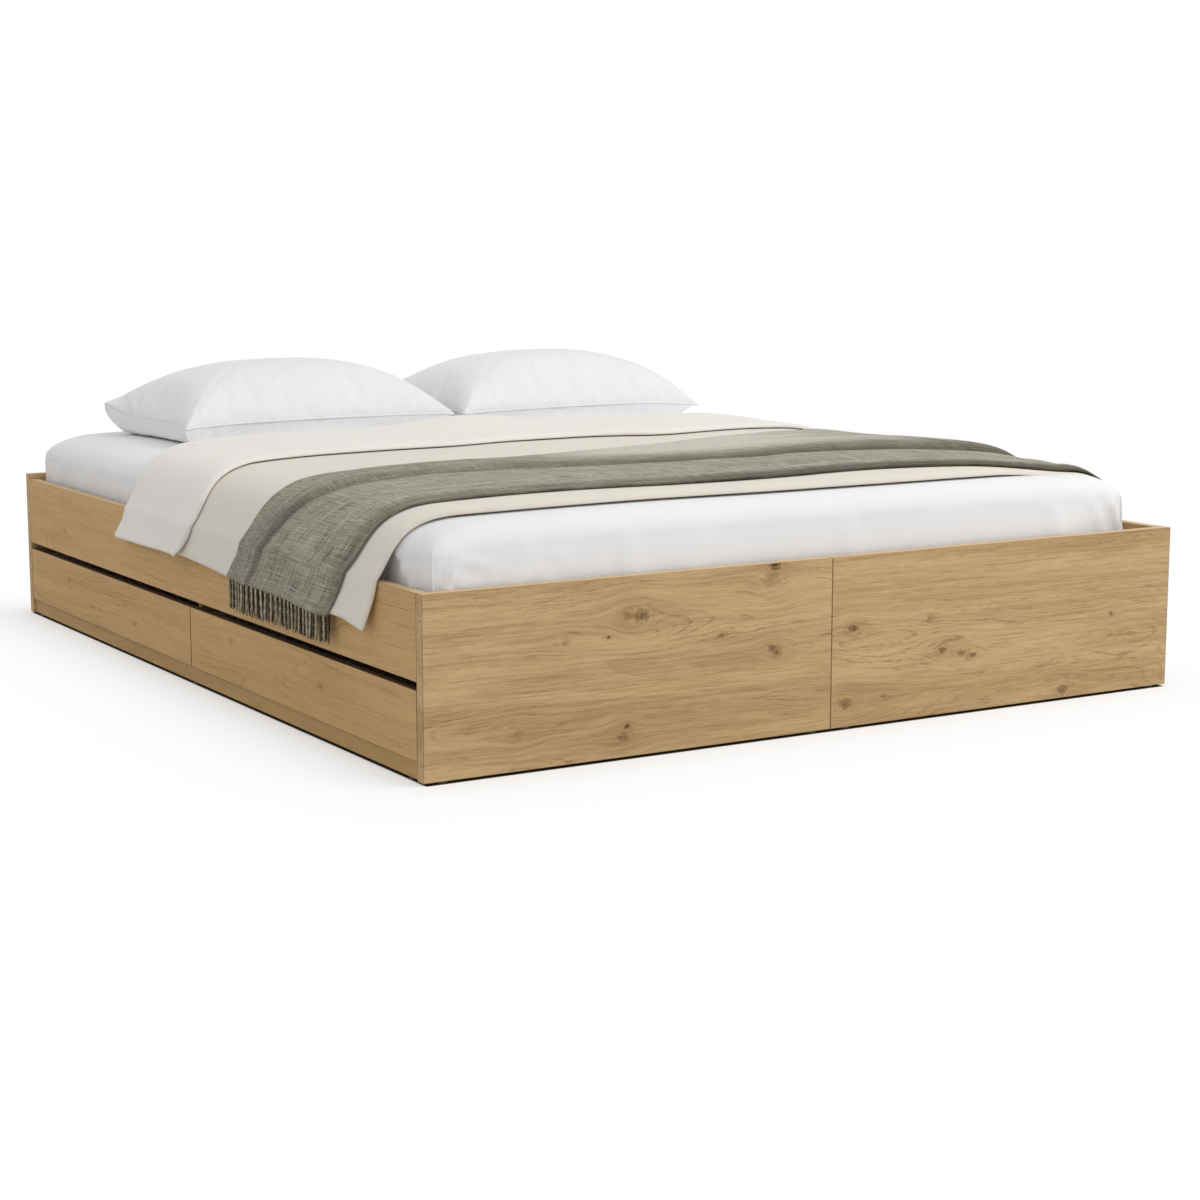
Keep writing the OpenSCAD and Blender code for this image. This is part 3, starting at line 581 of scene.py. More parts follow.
def throw_material():
    """Slubby plain weave. Thick and thin yarns run both ways, so pale and dark lines cross in the cloth.

    The attribute fold_shade paints shade on it above 0. Below 0 it turns the cloth pale: partly its thin
    side and the upper layer's edge, partly a painted highlight."""
    cloth = bpy.context.scene.bed_cloth
    material, n, shader = new_material("slubby throw weave")
    place = n.add("TexCoord").outputs["UV"]
    weave = n.group("plain weave", Vector=place, Threads=380.0, Slub=0.6)
    u, v, _ = n.split(place)

    def lines(u_scale, v_scale, layer, detail=2.0):
        """A noise drawn out into lines along the throw, or across it if v_scale is the smaller one."""
        stretched = n.join(n.math("MULTIPLY", u, u_scale), n.math("MULTIPLY", v, v_scale), layer)
        return n.noise(stretched, 1.0, detail, 0.6)

    def yarns(long_scale, cross_scale, layer, detail=2.0):
        """The yarns that run along the throw, and the ones that cross them."""
        warp = lines(long_scale, cross_scale, layer, detail)
        return warp, lines(cross_scale, long_scale, layer + 5.0, detail)

    warp, weft = yarns(11.0, 400.0, 0.0)
    thin_warp, thin_weft = yarns(60.0, 760.0, 3.0)
    slub_warp, slub_weft = yarns(9.0, 270.0, 7.0, 1.0)
    cloud = n.noise(n.scaled(place, (9, 16, 1)), 1.0, 3.0, 0.6)
    tone = n.math("MULTIPLY", warp, 1.05)
    for value, share in ((weft, 0.80), (thin_warp, 0.55), (thin_weft, 0.55), (cloud, 0.25)):
        tone = n.math("ADD", tone, n.math("MULTIPLY", value, share))
    tone = n.math("ADD", tone, n.math("MULTIPLY", n.ramp(slub_warp, 0.60, 0.72), 0.20))
    tone = n.math("ADD", tone, n.math("MULTIPLY", n.ramp(slub_weft, 0.60, 0.72), 0.16))
    tone = n.math("SUBTRACT", tone, n.math("MULTIPLY", n.ramp(slub_weft, 0.40, 0.30), 0.13))
    streak = n.math("SUBTRACT", lines(3.0, 70.0, 11.0), 0.5)
    tone = n.math("ADD", tone, n.math("MULTIPLY", streak, 0.28))
    base = n.mix(n.ramp(tone, 1.30, 1.55, smooth=False), cloth.yarn_dark, cloth.yarn)
    base = n.mix(n.ramp(tone, 1.55, 1.95, smooth=False), base, cloth.yarn_light)
    shade = n.add("Attribute", attribute_name="fold_shade").outputs["Fac"]
    # Painted shade: above 0, fold_shade darkens the yarn in the fold's hollow, under the foot edge and down
    # the sides
    base = n.mix(n.math("MULTIPLY", shade, 0.75, clamp=True), base, n.tinted(base, (0.24, 0.22, 0.18)))
    # Below 0, fold_shade turns the cloth pale: partly its thin side and the upper layer's edge, partly a
    # painted highlight; the streaks are the yarn's own
    pale_side_and_highlight = n.math("SUBTRACT", n.math("MULTIPLY", streak, 0.8), shade)
    pale_side_and_highlight = n.math("MULTIPLY", pale_side_and_highlight, n.ramp(shade, -0.05, -0.30), clamp=True)
    base = n.mix(n.math("MINIMUM", pale_side_and_highlight, 0.74), base, cloth.yarn_pale)
    n.put(base, shader["Base Color"])
    shader["Roughness"].default_value = 0.92
    shader["Sheen Weight"].default_value = 0.08
    shader["Sheen Roughness"].default_value = 0.6
    shader["Specular IOR Level"].default_value = 0.12
    height = n.math("ADD", n.math("MULTIPLY", weave["Height"], 0.5), tone)
    bump(n, height, shader, distance=0.0014, strength=0.8)
    return material


def fringe_material():
    """Twisted yarn of the fringe: the map's V runs along a strand and U round it."""
    cloth = bpy.context.scene.bed_cloth
    material, n, shader = new_material("twisted fringe yarn")
    source = n.add("TexCoord")
    u, v, _ = n.split(source.outputs["UV"])
    ply = n.math("SINE", n.math("MULTIPLY", n.math("ADD", n.math("MULTIPLY", v, 260.0), u), 2 * math.pi))
    fibre = n.noise(n.scaled(source.outputs["Object"], (900, 900, 260)), 1.0, 2.0)
    strand = n.noise(n.scaled(source.outputs["Object"], (90, 90, 9)), 1.0, 1.0)
    tone = n.math("ADD", n.math("MULTIPLY", ply, 0.12), n.math("MULTIPLY", fibre, 0.5))
    tone = n.math("ADD", tone, n.math("MULTIPLY", strand, 0.5))
    base = n.mix(n.ramp(tone, 0.22, 0.46, smooth=False), cloth.yarn_dark, cloth.yarn)
    base = n.mix(n.ramp(tone, 0.40, 0.68, smooth=False), base, cloth.yarn_light)
    # Painted shade: the back rows are darkened as the shadow behind the front row
    back = n.add("Attribute", attribute_name="back_row").outputs["Fac"]
    base = n.tinted(base, (1.0, 0.93, 0.82))
    base = n.mix(back, base, n.tinted(base, (0.12, 0.10, 0.07)))
    n.put(base, shader["Base Color"])
    shader["Roughness"].default_value = 0.9
    shader["Sheen Weight"].default_value = 0.1
    shader["Specular IOR Level"].default_value = 0.15
    bump(n, n.math("ADD", ply, fibre), shader, distance=0.0006, strength=0.6)
    return material


# ------------------------------------------------------------------ mesh helpers


def shade_smooth(mesh):
    """Shades every face of a mesh smoothly."""
    for polygon in mesh.polygons:
        polygon.use_smooth = True


def new_piece(name, bm, material):
    """Makes a smooth-shaded piece of the bedding from a bmesh."""
    mesh = bpy.data.meshes.new(name)
    bm.to_mesh(mesh)
    bm.free()
    shade_smooth(mesh)
    mesh.materials.append(material)
    piece = bpy.data.objects.new(name, mesh)
    bpy.context.scene.collection.objects.link(piece)
    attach(piece, ROOT)
    return piece


def apply_modifiers(piece):
    """Turns a piece's modifiers into its mesh."""
    evaluated = piece.evaluated_get(bpy.context.evaluated_depsgraph_get())
    mesh = bpy.data.meshes.new_from_object(evaluated)
    piece.modifiers.clear()
    piece.data = mesh


def curve_through(pairs, at):
    """Value at a place on the smooth line through given (place, value) pairs."""
    if at <= pairs[0][0]:
        return pairs[0][1]
    if at >= pairs[-1][0]:
        return pairs[-1][1]
    k = max(i for i, pair in enumerate(pairs[:-1]) if pair[0] <= at)

    def slope(i):
        before, after = pairs[max(i - 1, 0)], pairs[min(i + 1, len(pairs) - 1)]
        return (after[1] - before[1]) / (after[0] - before[0])

    (x0, y0), (x1, y1) = pairs[k], pairs[k + 1]
    step = x1 - x0
    t = (at - x0) / step
    rise = (3 - 2 * t) * t * t
    start = t * (1 - t) ** 2 * slope(k) * step
    end = t * t * (1 - t) * slope(k + 1) * step
    return y0 + (y1 - y0) * rise + start - end


def smooth_step(low, high, x):
    """A smooth rise from 0 at low to 1 at high."""
    t = min(1.0, max(0.0, (x - low) / (high - low)))
    return t * t * (3 - 2 * t)


def hump(x, centre, width):
    """A smooth rise to 1 at centre, back to 0 at width to either side."""
    t = abs(x - centre) / width
    return 0.0 if t >= 1 else (1 - t * t) ** 2


def wave(x, y, z=0.0, scale=1.0):
    """Smooth variation between -1 and 1, the same each run."""
    return noise.noise(Vector((x * scale, y * scale, z * scale + SEED)))


def add_tube(bm, path, radii, sides, closed=False, twist=0.0, lobes=0.0):
    """Adds a tube along a path. With lobes, every other side is drawn in, so that it looks plied."""
    count = len(path)
    if not isinstance(radii, (list, tuple)):
        radii = [radii] * count
    rows = count if closed else count - 1
    made = bmesh.ops.create_grid(bm, x_segments=sides, y_segments=rows, size=0.5)["verts"]
    uv = bm.loops.layers.uv.verify()
    run = [0.0]
    for a, b in zip(path, path[1:]):
        run.append(run[-1] + (b - a).length)
    run.append(run[-1] + (path[0] - path[-1]).length)
    faces = {f for v in made for f in v.link_faces}
    cells = {v: (round((v.co.x + 0.5) * sides), round((v.co.y + 0.5) * rows)) for v in made}
    for face in faces:
        for loop in face.loops:
            i, k = cells[loop.vert]
            loop[uv].uv = (i / sides, run[k])
    side_axis = None
    frames = []
    for k in range(count):
        before = path[k - 1] if closed or k > 0 else path[k]
        after = path[(k + 1) % count] if closed or k < count - 1 else path[k]
        ahead = (after - before).normalized()
        if side_axis is None:
            side_axis = ahead.orthogonal()
        side_axis = (side_axis - ahead * side_axis.dot(ahead)).normalized()
        frames.append((side_axis.copy(), ahead.cross(side_axis)))
    for v in made:
        i, k = cells[v]
        point, (a, b), radius = path[k % count], frames[k % count], radii[k % count]
        angle = 2 * math.pi * i / sides + twist * k
        radius *= 1 - lobes * (i % 2)
        v.co = point + (a * math.cos(angle) + b * math.sin(angle)) * radius
    bmesh.ops.remove_doubles(bm, verts=made, dist=1e-6)
    if not closed:
        ends = [e for e in bm.edges if e.is_boundary and e.is_valid]
        bmesh.ops.holes_fill(bm, edges=ends, sides=sides)


# ------------------------------------------------------------------ drape of the bedding


# Over each long side the bed's top sinks a little, and from BEND_START the bedding goes down in one wide
# bend, which the soft edge of the mattress carries, to the edge of the side rail.
SINK_START, BEND_START = 0.30, 0.681
SINK = 0.0066
TOP_SLOPE = 2 * SINK / (BEND_START - SINK_START)
RAIL_LEAN = math.radians(32)
TOP_PULL, RAIL_PULL = 0.1255, 0.0564
RAIL_X = HALF_WIDTH + 0.002
RAIL_Z = BOARD_HIGH.z + 0.002
HANG = 0.086
# At the foot end the right side lies lower than the left, and the mattress's corner there is drawn in
RIGHT_FOOT_SINK = 0.012
CORNER_PULL = 0.036


def shoulder():
    """Points over one long side, from the middle of the bed to the edge of the rail."""
    def top(x):
        t = max(0.0, (x - SINK_START) / (BEND_START - SINK_START))
        return Vector((x, 0, BED_TOP - SINK * t**2))

    steps = 60
    start, end = top(BEND_START), Vector((RAIL_X, 0, RAIL_Z))
    first = start + TOP_PULL * Vector((1, 0, -TOP_SLOPE))
    second = end + RAIL_PULL * Vector((-math.sin(RAIL_LEAN), 0, math.cos(RAIL_LEAN)))
    flat = [top(BEND_START * k / steps) for k in range(steps)]
    return flat + interpolate_bezier(start, first, second, end, steps)


def arc_lengths(points):
    """Running length along a row of points."""
    lengths = [0.0]
    for a, b in zip(points, points[1:]):
        lengths.append(lengths[-1] + (b - a).length)
    return lengths


SHOULDER = np.array([(p.x, p.z) for p in shoulder()])
SHOULDER_RUN = np.array(arc_lengths(shoulder()))
SHOULDER_SLOPE = np.gradient(SHOULDER, axis=0)
RAIL_RUN = float(SHOULDER_RUN[-1])
CLOTH_END = RAIL_RUN + HANG


def bed_top(x):
    """Height of the mattress's top under the bedding."""
    return float(np.interp(abs(x), SHOULDER[:, 0], SHOULDER[:, 1]))


def right_foot_pull(x, y, z):
    """How far a place near the right corner of the foot end is drawn in towards the middle of the bed."""
    if x < 0.3 or y > -0.5:
        return 0.0
    reach = 0.10 + 0.16 * smooth_step(0.33, 0.41, z)
    near_end = 1 - smooth_step(0.0, reach, y - MATTRESS_LOW.y)
    return CORNER_PULL * smooth_step(-0.24, 0.0, x - MATTRESS_HIGH.x) * near_end


def drape(s, y, out, hem):
    """Place across the bed and height of cloth that lies the distance out off the mattress and the rail.

    s is the distance over the bed from its middle line, negative on the left; the rail's edge is at
    RAIL_RUN, and the cloth ends at CLOTH_END, where its height is hem."""
    side, run = math.copysign(1, s), abs(s)
    x, z = (float(np.interp(run, SHOULDER_RUN, SHOULDER[:, k])) for k in (0, 1))
    ahead = Vector([float(np.interp(run, SHOULDER_RUN, SHOULDER_SLOPE[:, k])) for k in (0, 1)])
    ahead.normalize()
    past_rail = smooth_step(RAIL_RUN - 0.03, RAIL_RUN + 0.03, run)
    outward = Vector((-ahead.y, ahead.x)).lerp(Vector((1, 0)), past_rail)
    outward.normalize()
    if side > 0:
        low = smooth_step(0.45, 0.70, x) * (1 - smooth_step(0.76, RAIL_X, x))
        z -= RIGHT_FOOT_SINK * low * (1 - smooth_step(-0.85, -0.50, y))
    pull = right_foot_pull(side * x, y, z) * (1 - smooth_step(RAIL_RUN - 0.07, RAIL_RUN - 0.01, run))
    if run > RAIL_RUN:
        z += (hem - RAIL_Z) * (run - RAIL_RUN) / HANG
    return side * (x + out * outward.x) - pull, z + out * outward.y


def cloth_stations(hang, bend, top):
    """Values of s from hem to hem: so many steps down each side, over each bend, and across the top."""
    ends = (-CLOTH_END, -RAIL_RUN, -BEND_START, BEND_START, RAIL_RUN, CLOTH_END)
    values = []
    for low, high, count in zip(ends, ends[1:], (hang, bend, top, bend, hang)):
        values += [low + (high - low) * k / count for k in range(count)]
    return values + [CLOTH_END]


def cloth_rows(stretches):
    """Shares from 0 to 1, one for each row of a cloth."""
    count = sum(stretches)
    return [k / count for k in range(count + 1)]


def cloth_grid(name, columns, rows, place, material, thickness, shade, edge_share):
    """A sheet of cloth: columns of s by rows of share 0 to 1, each put at place(s, share).

    Its own map is in metres, along its middle row and column. shade(s, share) is kept as the attribute
    fold_shade, for the material. At its edges the cloth has edge_share of its thickness. Returns the
    piece, its size when flat, and its middle surface's points."""
    bm = bmesh.new()
    fold_shade = bm.verts.layers.float.new("fold_shade")
    uv = bm.loops.layers.uv.verify()
    last_column, last_row = len(columns) - 1, len(rows) - 1
    made = bmesh.ops.create_grid(bm, x_segments=last_column, y_segments=last_row, size=0.5)["verts"]
    cells = {v: (round((v.co.x + 0.5) * last_column), round((v.co.y + 0.5) * last_row)) for v in made}
    bm.verts.index_update()
    for v, (i, j) in cells.items():
        v.co = place(columns[i], rows[j])
        v[fold_shade] = shade(columns[i], rows[j])
    grid = {cell: v.co.copy() for v, cell in cells.items()}
    across = arc_lengths([grid[(i, last_row // 2)] for i in range(len(columns))])
    along = arc_lengths([grid[(last_column // 2, j)] for j in range(len(rows))])
    for face in bm.faces:
        for loop in face.loops:
            i, j = cells[loop.vert]
            loop[uv].uv = (across[i], along[j])
    bm.normal_update()
    if sum(f.normal.z * f.calc_area() for f in bm.faces) < 0:
        bmesh.ops.reverse_faces(bm, faces=bm.faces)
    rim = {v.index for v in bm.verts if v.is_boundary}
    piece = new_piece(name, bm, material)
    full = piece.vertex_groups.new(name="full thickness")
    full.add([v.index for v in piece.data.vertices if v.index not in rim], 1.0, "REPLACE")
    solid = piece.modifiers.new("thickness", "SOLIDIFY")
    solid.thickness = thickness
    solid.offset = 0.0
    solid.use_even_offset = False
    solid.vertex_group = full.name
    solid.thickness_vertex_group = edge_share
    apply_modifiers(piece)
    piece.vertex_groups.clear()
    return piece, (across[-1], along[-1]), grid


def grid_area(grid, columns, rows):
    """Area of a cloth's middle surface, which has so many columns and rows of points."""
    area = 0.0
    for i in range(columns - 1):
        for j in range(rows - 1):
            a, b, c, d = grid[(i, j)], grid[(i + 1, j)], grid[(i + 1, j + 1)], grid[(i, j + 1)]
            area += ((b - a).cross(c - a).length + (c - a).cross(d - a).length) / 2
    return area


# ------------------------------------------------------------------ operators: wood and fittings

# The boards along the sides are browner and darker than the ones at the ends, partly their own tone and
# partly painted shade, and their grain is calmer; the plinths, set back under the drawers, have more
# painted shade
SIDE_TONE_AND_SHADE = (0.985, 0.912, 0.812)
SIDE_FIGURE = 0.66
PLINTH_TONE_AND_SHADE = (0.86, 0.79, 0.68)
PLINTH_FIGURE = 0.5
INNER_TINT = (0.92, 0.92, 0.92)
# Knots on the boards, as (place along the grain, height, radius, strength), sizes in metres
FOOTBOARD_LEFT_KNOTS = (
    (-0.127, 0.315, 0.0095, 0.95),
    (-0.135, 0.290, 0.0150, 0.28),
    (-0.408, 0.249, 0.0125, 0.62),
    (-0.435, 0.250, 0.0080, 0.34),
    (-0.474, 0.217, 0.0036, 0.90),
    (-0.560, 0.214, 0.0060, 0.36),
    (-0.131, 0.168, 0.0068, 0.80),
    (-0.122, 0.158, 0.0060, 0.66),
    (-0.437, 0.058, 0.0046, 0.95),
    (-0.446, 0.040, 0.0100, 0.58),
    (-0.650, 0.068, 0.0085, 0.26),
    (-0.240, 0.200, 0.0046, 0.55),
)
FOOTBOARD_RIGHT_KNOTS = (
    (0.050, 0.186, 0.0085, 0.95),
    (0.225, 0.190, 0.0056, 0.50),
    (0.258, 0.127, 0.0070, 0.70),
    (0.304, 0.117, 0.0085, 0.62),
    (0.333, 0.110, 0.0056, 0.85),
    (0.559, 0.020, 0.0100, 0.62),
    (0.033, 0.048, 0.0110, 0.60),
    (0.120, 0.053, 0.0050, 0.50),
    (0.680, 0.159, 0.0048, 0.72),
)
RAIL_KNOTS = ((-0.420, 0.235, 0.0050, 0.45), (0.310, 0.262, 0.0046, 0.40), (0.760, 0.225, 0.0060, 0.40))
FRONT_KNOTS = {
    "foot_left_drawer": ((-0.620, 0.098, 0.0060, 0.45), (-0.210, 0.120, 0.0045, 0.40)),
    "head_left_drawer": ((0.320, 0.074, 0.0055, 0.45), (0.735, 0.118, 0.0050, 0.40)),
    "foot_right_drawer": ((-0.480, 0.072, 0.0060, 0.50),),
    "head_right_drawer": ((0.560, 0.105, 0.0055, 0.50),),
}


def dress(node, material):
    """Gives a CAD node its material."""
    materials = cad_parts[node].data.materials
    materials.clear()
    materials.append(material)


class BED_OT_shared_effects(bpy.types.Operator):
    """Builds the node groups that several finishes share"""

    bl_idname = "bed.shared_effects"
    bl_label = "Build shared effects"

    def execute(self, context):
        make_knot_group()
        make_grain_group()
        make_edge_group()
        make_weave_group()
        make_dust_group()
        return {"FINISHED"}


class BED_OT_finish_boards(bpy.types.Operator):
    """Gives the visible boards their knotty oak laminate, each with its own stretch of the grain"""

    bl_idname = "bed.finish_boards"
    bl_label = "Finish oak boards"

    def execute(self, context):
        # Each board has its own offset in the grain, so that no two show the same stretch
        end_boards = {
            "footboard_left": ((1.3, 0.62, 0.0), FOOTBOARD_LEFT_KNOTS),
            "footboard_right": ((4.1, 1.37, 0.4), FOOTBOARD_RIGHT_KNOTS),
            "head_panel_left": ((7.7, 2.11, 0.9), ((-0.30, 0.21, 0.009, 0.8), (-0.62, 0.12, 0.006, 0.6))),
            "head_panel_right": ((9.4, 3.05, 1.3), ((0.24, 0.16, 0.010, 0.8), (0.55, 0.25, 0.006, 0.7))),
        }
        for node, (offset, knots) in end_boards.items():
            dress(node, oak_material("oak " + node, "x", offset, knots, box=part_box(node)))
        for k, side in enumerate(("left", "right")):
            side_boards = {
                "side_rail_" + side: ((2.3 + k, 4.2, 0.3 + k), RAIL_KNOTS, SIDE_TONE_AND_SHADE, SIDE_FIGURE),
                "plinth_" + side: ((5.9 + k, 5.1, 0.8 + k), (), PLINTH_TONE_AND_SHADE, PLINTH_FIGURE),
            }
            for node, (offset, knots, tint, figure) in side_boards.items():
                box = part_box(node)
                dress(node, oak_material("oak " + node, "y", offset, knots, tint, box, figure=figure))
        for k, drawer in enumerate(DRAWERS):
            node, knots = drawer + "_front", FRONT_KNOTS[drawer]
            offset = (3.4 + 1.7 * k, 6.3 + 0.8 * k, 0.5 + k)
            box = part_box(node)
            oak = oak_material(
                "oak " + node, "y", offset, knots, SIDE_TONE_AND_SHADE, box, gap_shade_top=True, figure=SIDE_FIGURE
            )
            dress(node, oak)
        return {"FINISHED"}


class BED_OT_finish_inside(bpy.types.Operator):
    """Finishes the deck, the inner boards and the drawer boxes"""

    bl_idname = "bed.finish_inside"
    bl_label = "Finish inner boards"

    def execute(self, context):
        wood = context.scene.bed_wood
        across = plain_wood_material("planed softwood across", "x", tuple(wood.pine), line_share=0.35)
        along = plain_wood_material("planed softwood along", "y", tuple(wood.pine), line_share=0.35)
        inner_along = oak_material("plain oak along", "y", (11.2, 7.7, 0.2), tint=INNER_TINT)
        inner_across = oak_material("plain oak across", "x", (12.6, 8.3, 0.6), tint=INNER_TINT)
        faced = faced_board_material("white faced board", tuple(wood.board_white))
        for node in ("ledger_left", "ledger_right"):
            dress(node, along)
        for node in ("ledger_foot", "ledger_head"):
            dress(node, across)
        for node in [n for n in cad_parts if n.startswith("deck_board_")]:
            dress(node, across)
        dress("centre_spine", inner_along)
        for node in ("partition_left", "partition_right", "foot_seam_batten", "head_seam_batten"):
            dress(node, inner_across)
        for drawer in DRAWERS:
            for part in ("foot_side", "head_side", "back", "bottom"):
                dress(f"{drawer}_{part}", faced)
        return {"FINISHED"}


class BED_OT_finish_fittings(bpy.types.Operator):
    """Finishes the runners, ball cages, brackets, screws and glide feet"""

    bl_idname = "bed.finish_fittings"
    bl_label = "Finish fittings"

    def execute(self, context):
        zinc = metal_material("zinc plate", (0.66, 0.67, 0.68), roughness=0.30, brushed=True)
        bright = metal_material("bright steel", (0.74, 0.72, 0.66), roughness=0.20, brushed=False)
        screw = metal_material("screw steel", (0.60, 0.60, 0.59), roughness=0.34, brushed=False)
        dress("corner_brackets", zinc)
        dress("outer_runners", zinc)
        dress("bracket_screws", screw)
        dress("glide_feet", plastic_material("black glide plastic", (0.028, 0.027, 0.026)))
        for drawer in DRAWERS:
            dress(drawer + "_inner_runners", zinc)
            dress(drawer + "_ball_cages", bright)
        return {"FINISHED"}


# ------------------------------------------------------------------ operators: mattress and pillows

# Soft creases down the faces of the fitted sheet: (place along the face, slant, width, depth), in metres
SHEET_CREASES = (
    (-0.735, 0.30, 0.014, 0.0105),
    (-0.675, 0.55, 0.016, 0.0085),
    (-0.600, 0.25, 0.020, 0.0070),
    (-0.520, 0.45, 0.018, 0.0050),
    (-0.430, -0.25, 0.022, 0.0044),
    (-0.250, 0.25, 0.034, 0.0034),
    (0.040, -0.30, 0.030, 0.0034),
    (0.300, 0.20, 0.036, 0.0030),
    (0.520, -0.45, 0.024, 0.0046),
    (0.640, -0.70, 0.022, 0.0058),
    (0.735, -0.40, 0.018, 0.0074),
)
# The fitted sheet: radius of its upper and lower edges and of its upright corners, its margin to the
# mattress's box, its sag on top, and how far below the top its corner seams end
SHEET_EDGE = 0.050
SHEET_CORNER = 0.030
SHEET_MARGIN = 0.0068
SHEET_SAG = 0.0010
SEAM_DROP = 0.042
# Cuts across each face of the mattress, and the share of a face's cells that its rounded edges get
MATTRESS_CUTS = 84
EDGE_CELLS = 0.12


def sheet_crease(p):
    """How far the sheet lies out from the foam at p: slanting creases on its sides, and a slow swell."""
    across = p.x if abs(p.y) > MATTRESS_HIGH.y - 0.05 else p.y * 0.8
    down = MATTRESS_HIGH.z - p.z
    amount = 0.0
    for place, slant, width, depth in SHEET_CREASES:
        amount += depth * hump(across, place - slant * down, width) * smooth_step(0.02, 0.07, down)
    return amount + 0.0012 * wave(p.x, p.y, p.z, 5.0)


class BED_OT_make_mattress(bpy.types.Operator):
    """Makes the mattress in its fitted sheet, with the seams at its corners"""

    bl_idname = "bed.make_mattress"
    bl_label = "Make mattress"

    def execute(self, context):
        cloth = context.scene.bed_cloth
        material = cotton_material(
            "white fitted sheet", tuple(cloth.sheet), threads=1500.0, sheen=0.15, on_map=False
        )
        half = (MATTRESS_HIGH - MATTRESS_LOW) / 2
        centre = (MATTRESS_HIGH + MATTRESS_LOW) / 2
        flat_x = half.x - SHEET_EDGE

        def along_axis(a, size):
            """Spreads a cube's even cuts so that its rounded edges get their share of them."""
            flat = size - SHEET_EDGE
            s, t = math.copysign(1, a), abs(a)
            if t <= 1 - EDGE_CELLS:
                return s * flat * t / (1 - EDGE_CELLS)
            return s * (flat + SHEET_EDGE * (t - 1 + EDGE_CELLS) / EDGE_CELLS)

        def place(vertex):
            p = Vector([along_axis(a, size) for a, size in zip(vertex.co, half)])
            core = Vector([max(-(s - SHEET_EDGE), min(s - SHEET_EDGE, c)) for c, s in zip(p, half)])
            outward = (p - core).normalized()
            q = core + outward * SHEET_EDGE + centre
            if outward.x and outward.y:
                # The upright corners are tighter than the upper edges
                sharper = (SHEET_EDGE - SHEET_CORNER) * min(abs(outward.x), abs(outward.y)) * 0.58
                q += Vector((math.copysign(sharper, outward.x), math.copysign(sharper, outward.y), 0))
            on_side = 1 - abs(outward.z)
            q += outward * on_side * (sheet_crease(q) - SHEET_MARGIN)
            if outward.z > 0:
                q.z -= outward.z * SHEET_SAG * (1 + wave(q.x, q.y, 0, 3.0))
            # The long edges are as soft as the bend of the bedding over them
            x = min(abs(q.x), half.x - 0.001)
            rounded = BED_TOP - SHEET_EDGE + math.sqrt(SHEET_EDGE**2 - max(0.0, x - flat_x) ** 2)
            share = (bed_top(x) - 0.002 - centre.z) / (rounded - centre.z)
            if q.z > centre.z:
                q.z = centre.z + (q.z - centre.z) * max(0.5, min(1.0, share))
            pull = right_foot_pull(q.x, q.y, q.z)
            return q + Vector((-pull, 0.8 * pull, 0))

        bm = bmesh.new()
        bmesh.ops.create_cube(bm, size=2.0)
        bmesh.ops.subdivide_edges(bm, edges=bm.edges, cuts=MATTRESS_CUTS, use_grid_fill=True)
        upright = [v for v in bm.verts if abs(v.co.x * v.co.y) > 0.9999]
        for v in bm.verts:
            v.co = place(v)
        corners = {}
        for v in upright:
            corners.setdefault((v.co.x > 0, v.co.y > 0), []).append(v.co.copy())
        bm.normal_update()
        piece = new_piece("mattress_sheet", bm, material)
        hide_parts("mattress")
        self.add_corner_seams(material, corners.values(), cloth.seam_width / 2)
        return {"FINISHED"}

    def add_corner_seams(self, material, corners, radius):
        """A piped seam runs up each corner of the fitted sheet and fades out below its upper edge."""
        bm = bmesh.new()
        top = MATTRESS_HIGH.z - SEAM_DROP
        for points in corners:
            path = sorted((p for p in points if p.z < top), key=lambda p: p.z)[::2]
            outward = Vector((math.copysign(1, path[0].x), math.copysign(1, path[0].y), 0)).normalized()
            path = [p + outward * radius * 0.5 for p in path]
            radii = [radius * (1 - 0.7 * smooth_step(0.8, 1.0, k / len(path))) for k in range(len(path))]
            add_tube(bm, path, radii, sides=8)
        new_piece("mattress_corner_seams", bm, material)


# Corners of the pillows' seams: front left, front right, back right and back left, each as its place on the
# bed and its height above the mattress
PILLOW_SEAMS = {
    "pillow_left": (
        (-0.634, 0.478, 0.033),
        (0.029, 0.520, 0.036),
        (-0.020, 0.920, 0.047),
        (-0.664, 0.900, 0.063),
    ),
    "pillow_right": (
        (0.060, 0.492, 0.037),
        (0.726, 0.540, 0.028),
        (0.684, 0.930, 0.042),
        (0.030, 0.910, 0.052),
    ),
}
# Height of the seam between its corners, rise of the crown over it, depth of the belly under it, and the
# gap that is left over the mattress
PILLOW_SEAM = 0.0405
PILLOW_CROWN = 0.1215
PILLOW_BELLY = 0.062
PILLOW_GAP = 0.0004
# How far the ends, and the front and back, are drawn in between their corners, as shares of the half size
DRAWN_IN = (0.055, 0.060)
# Creases as (end, side, distance from that end): -1 is the left end or the front, and 1 the other one
PILLOW_CREASES = ((-1, -1, 0.10), (1, -1, 0.13), (1, 1, 0.10))
# Cells along and across a case, and the half size that its map gives it
PILLOW_CELLS = (96, 64)
CASE_HALF = (0.35, 0.22)
# The cloth solver's pass over a case: its frames, its pressure, how much larger the cloth is cut than the
# filling, and how far it may move the case
CASE_FRAMES = 14
CASE_PRESSURE = 3.0
CASE_SLACK = 0.013
CASE_MOVE = 0.006


def pillow_rise(u, w, length, depth):
    """Share of its crown that a pillow has at (u, w): full in the middle, hipped towards its corners."""
    domed = ((1 - abs(u) ** 2.4) * (1 - abs(w) ** 2.6)) ** 0.6
    to_end = max((1 - abs(u)) * length / 0.20, 1e-4)
    to_front = max((1 - abs(w)) * depth / 0.17, 1e-4)
    nearest = (to_end**-4 + to_front**-4) ** -0.25
    hipped = math.sqrt(1 - (1 - min(nearest, 1.0)) ** 2)
    return 0.60 * domed + 0.40 * hipped


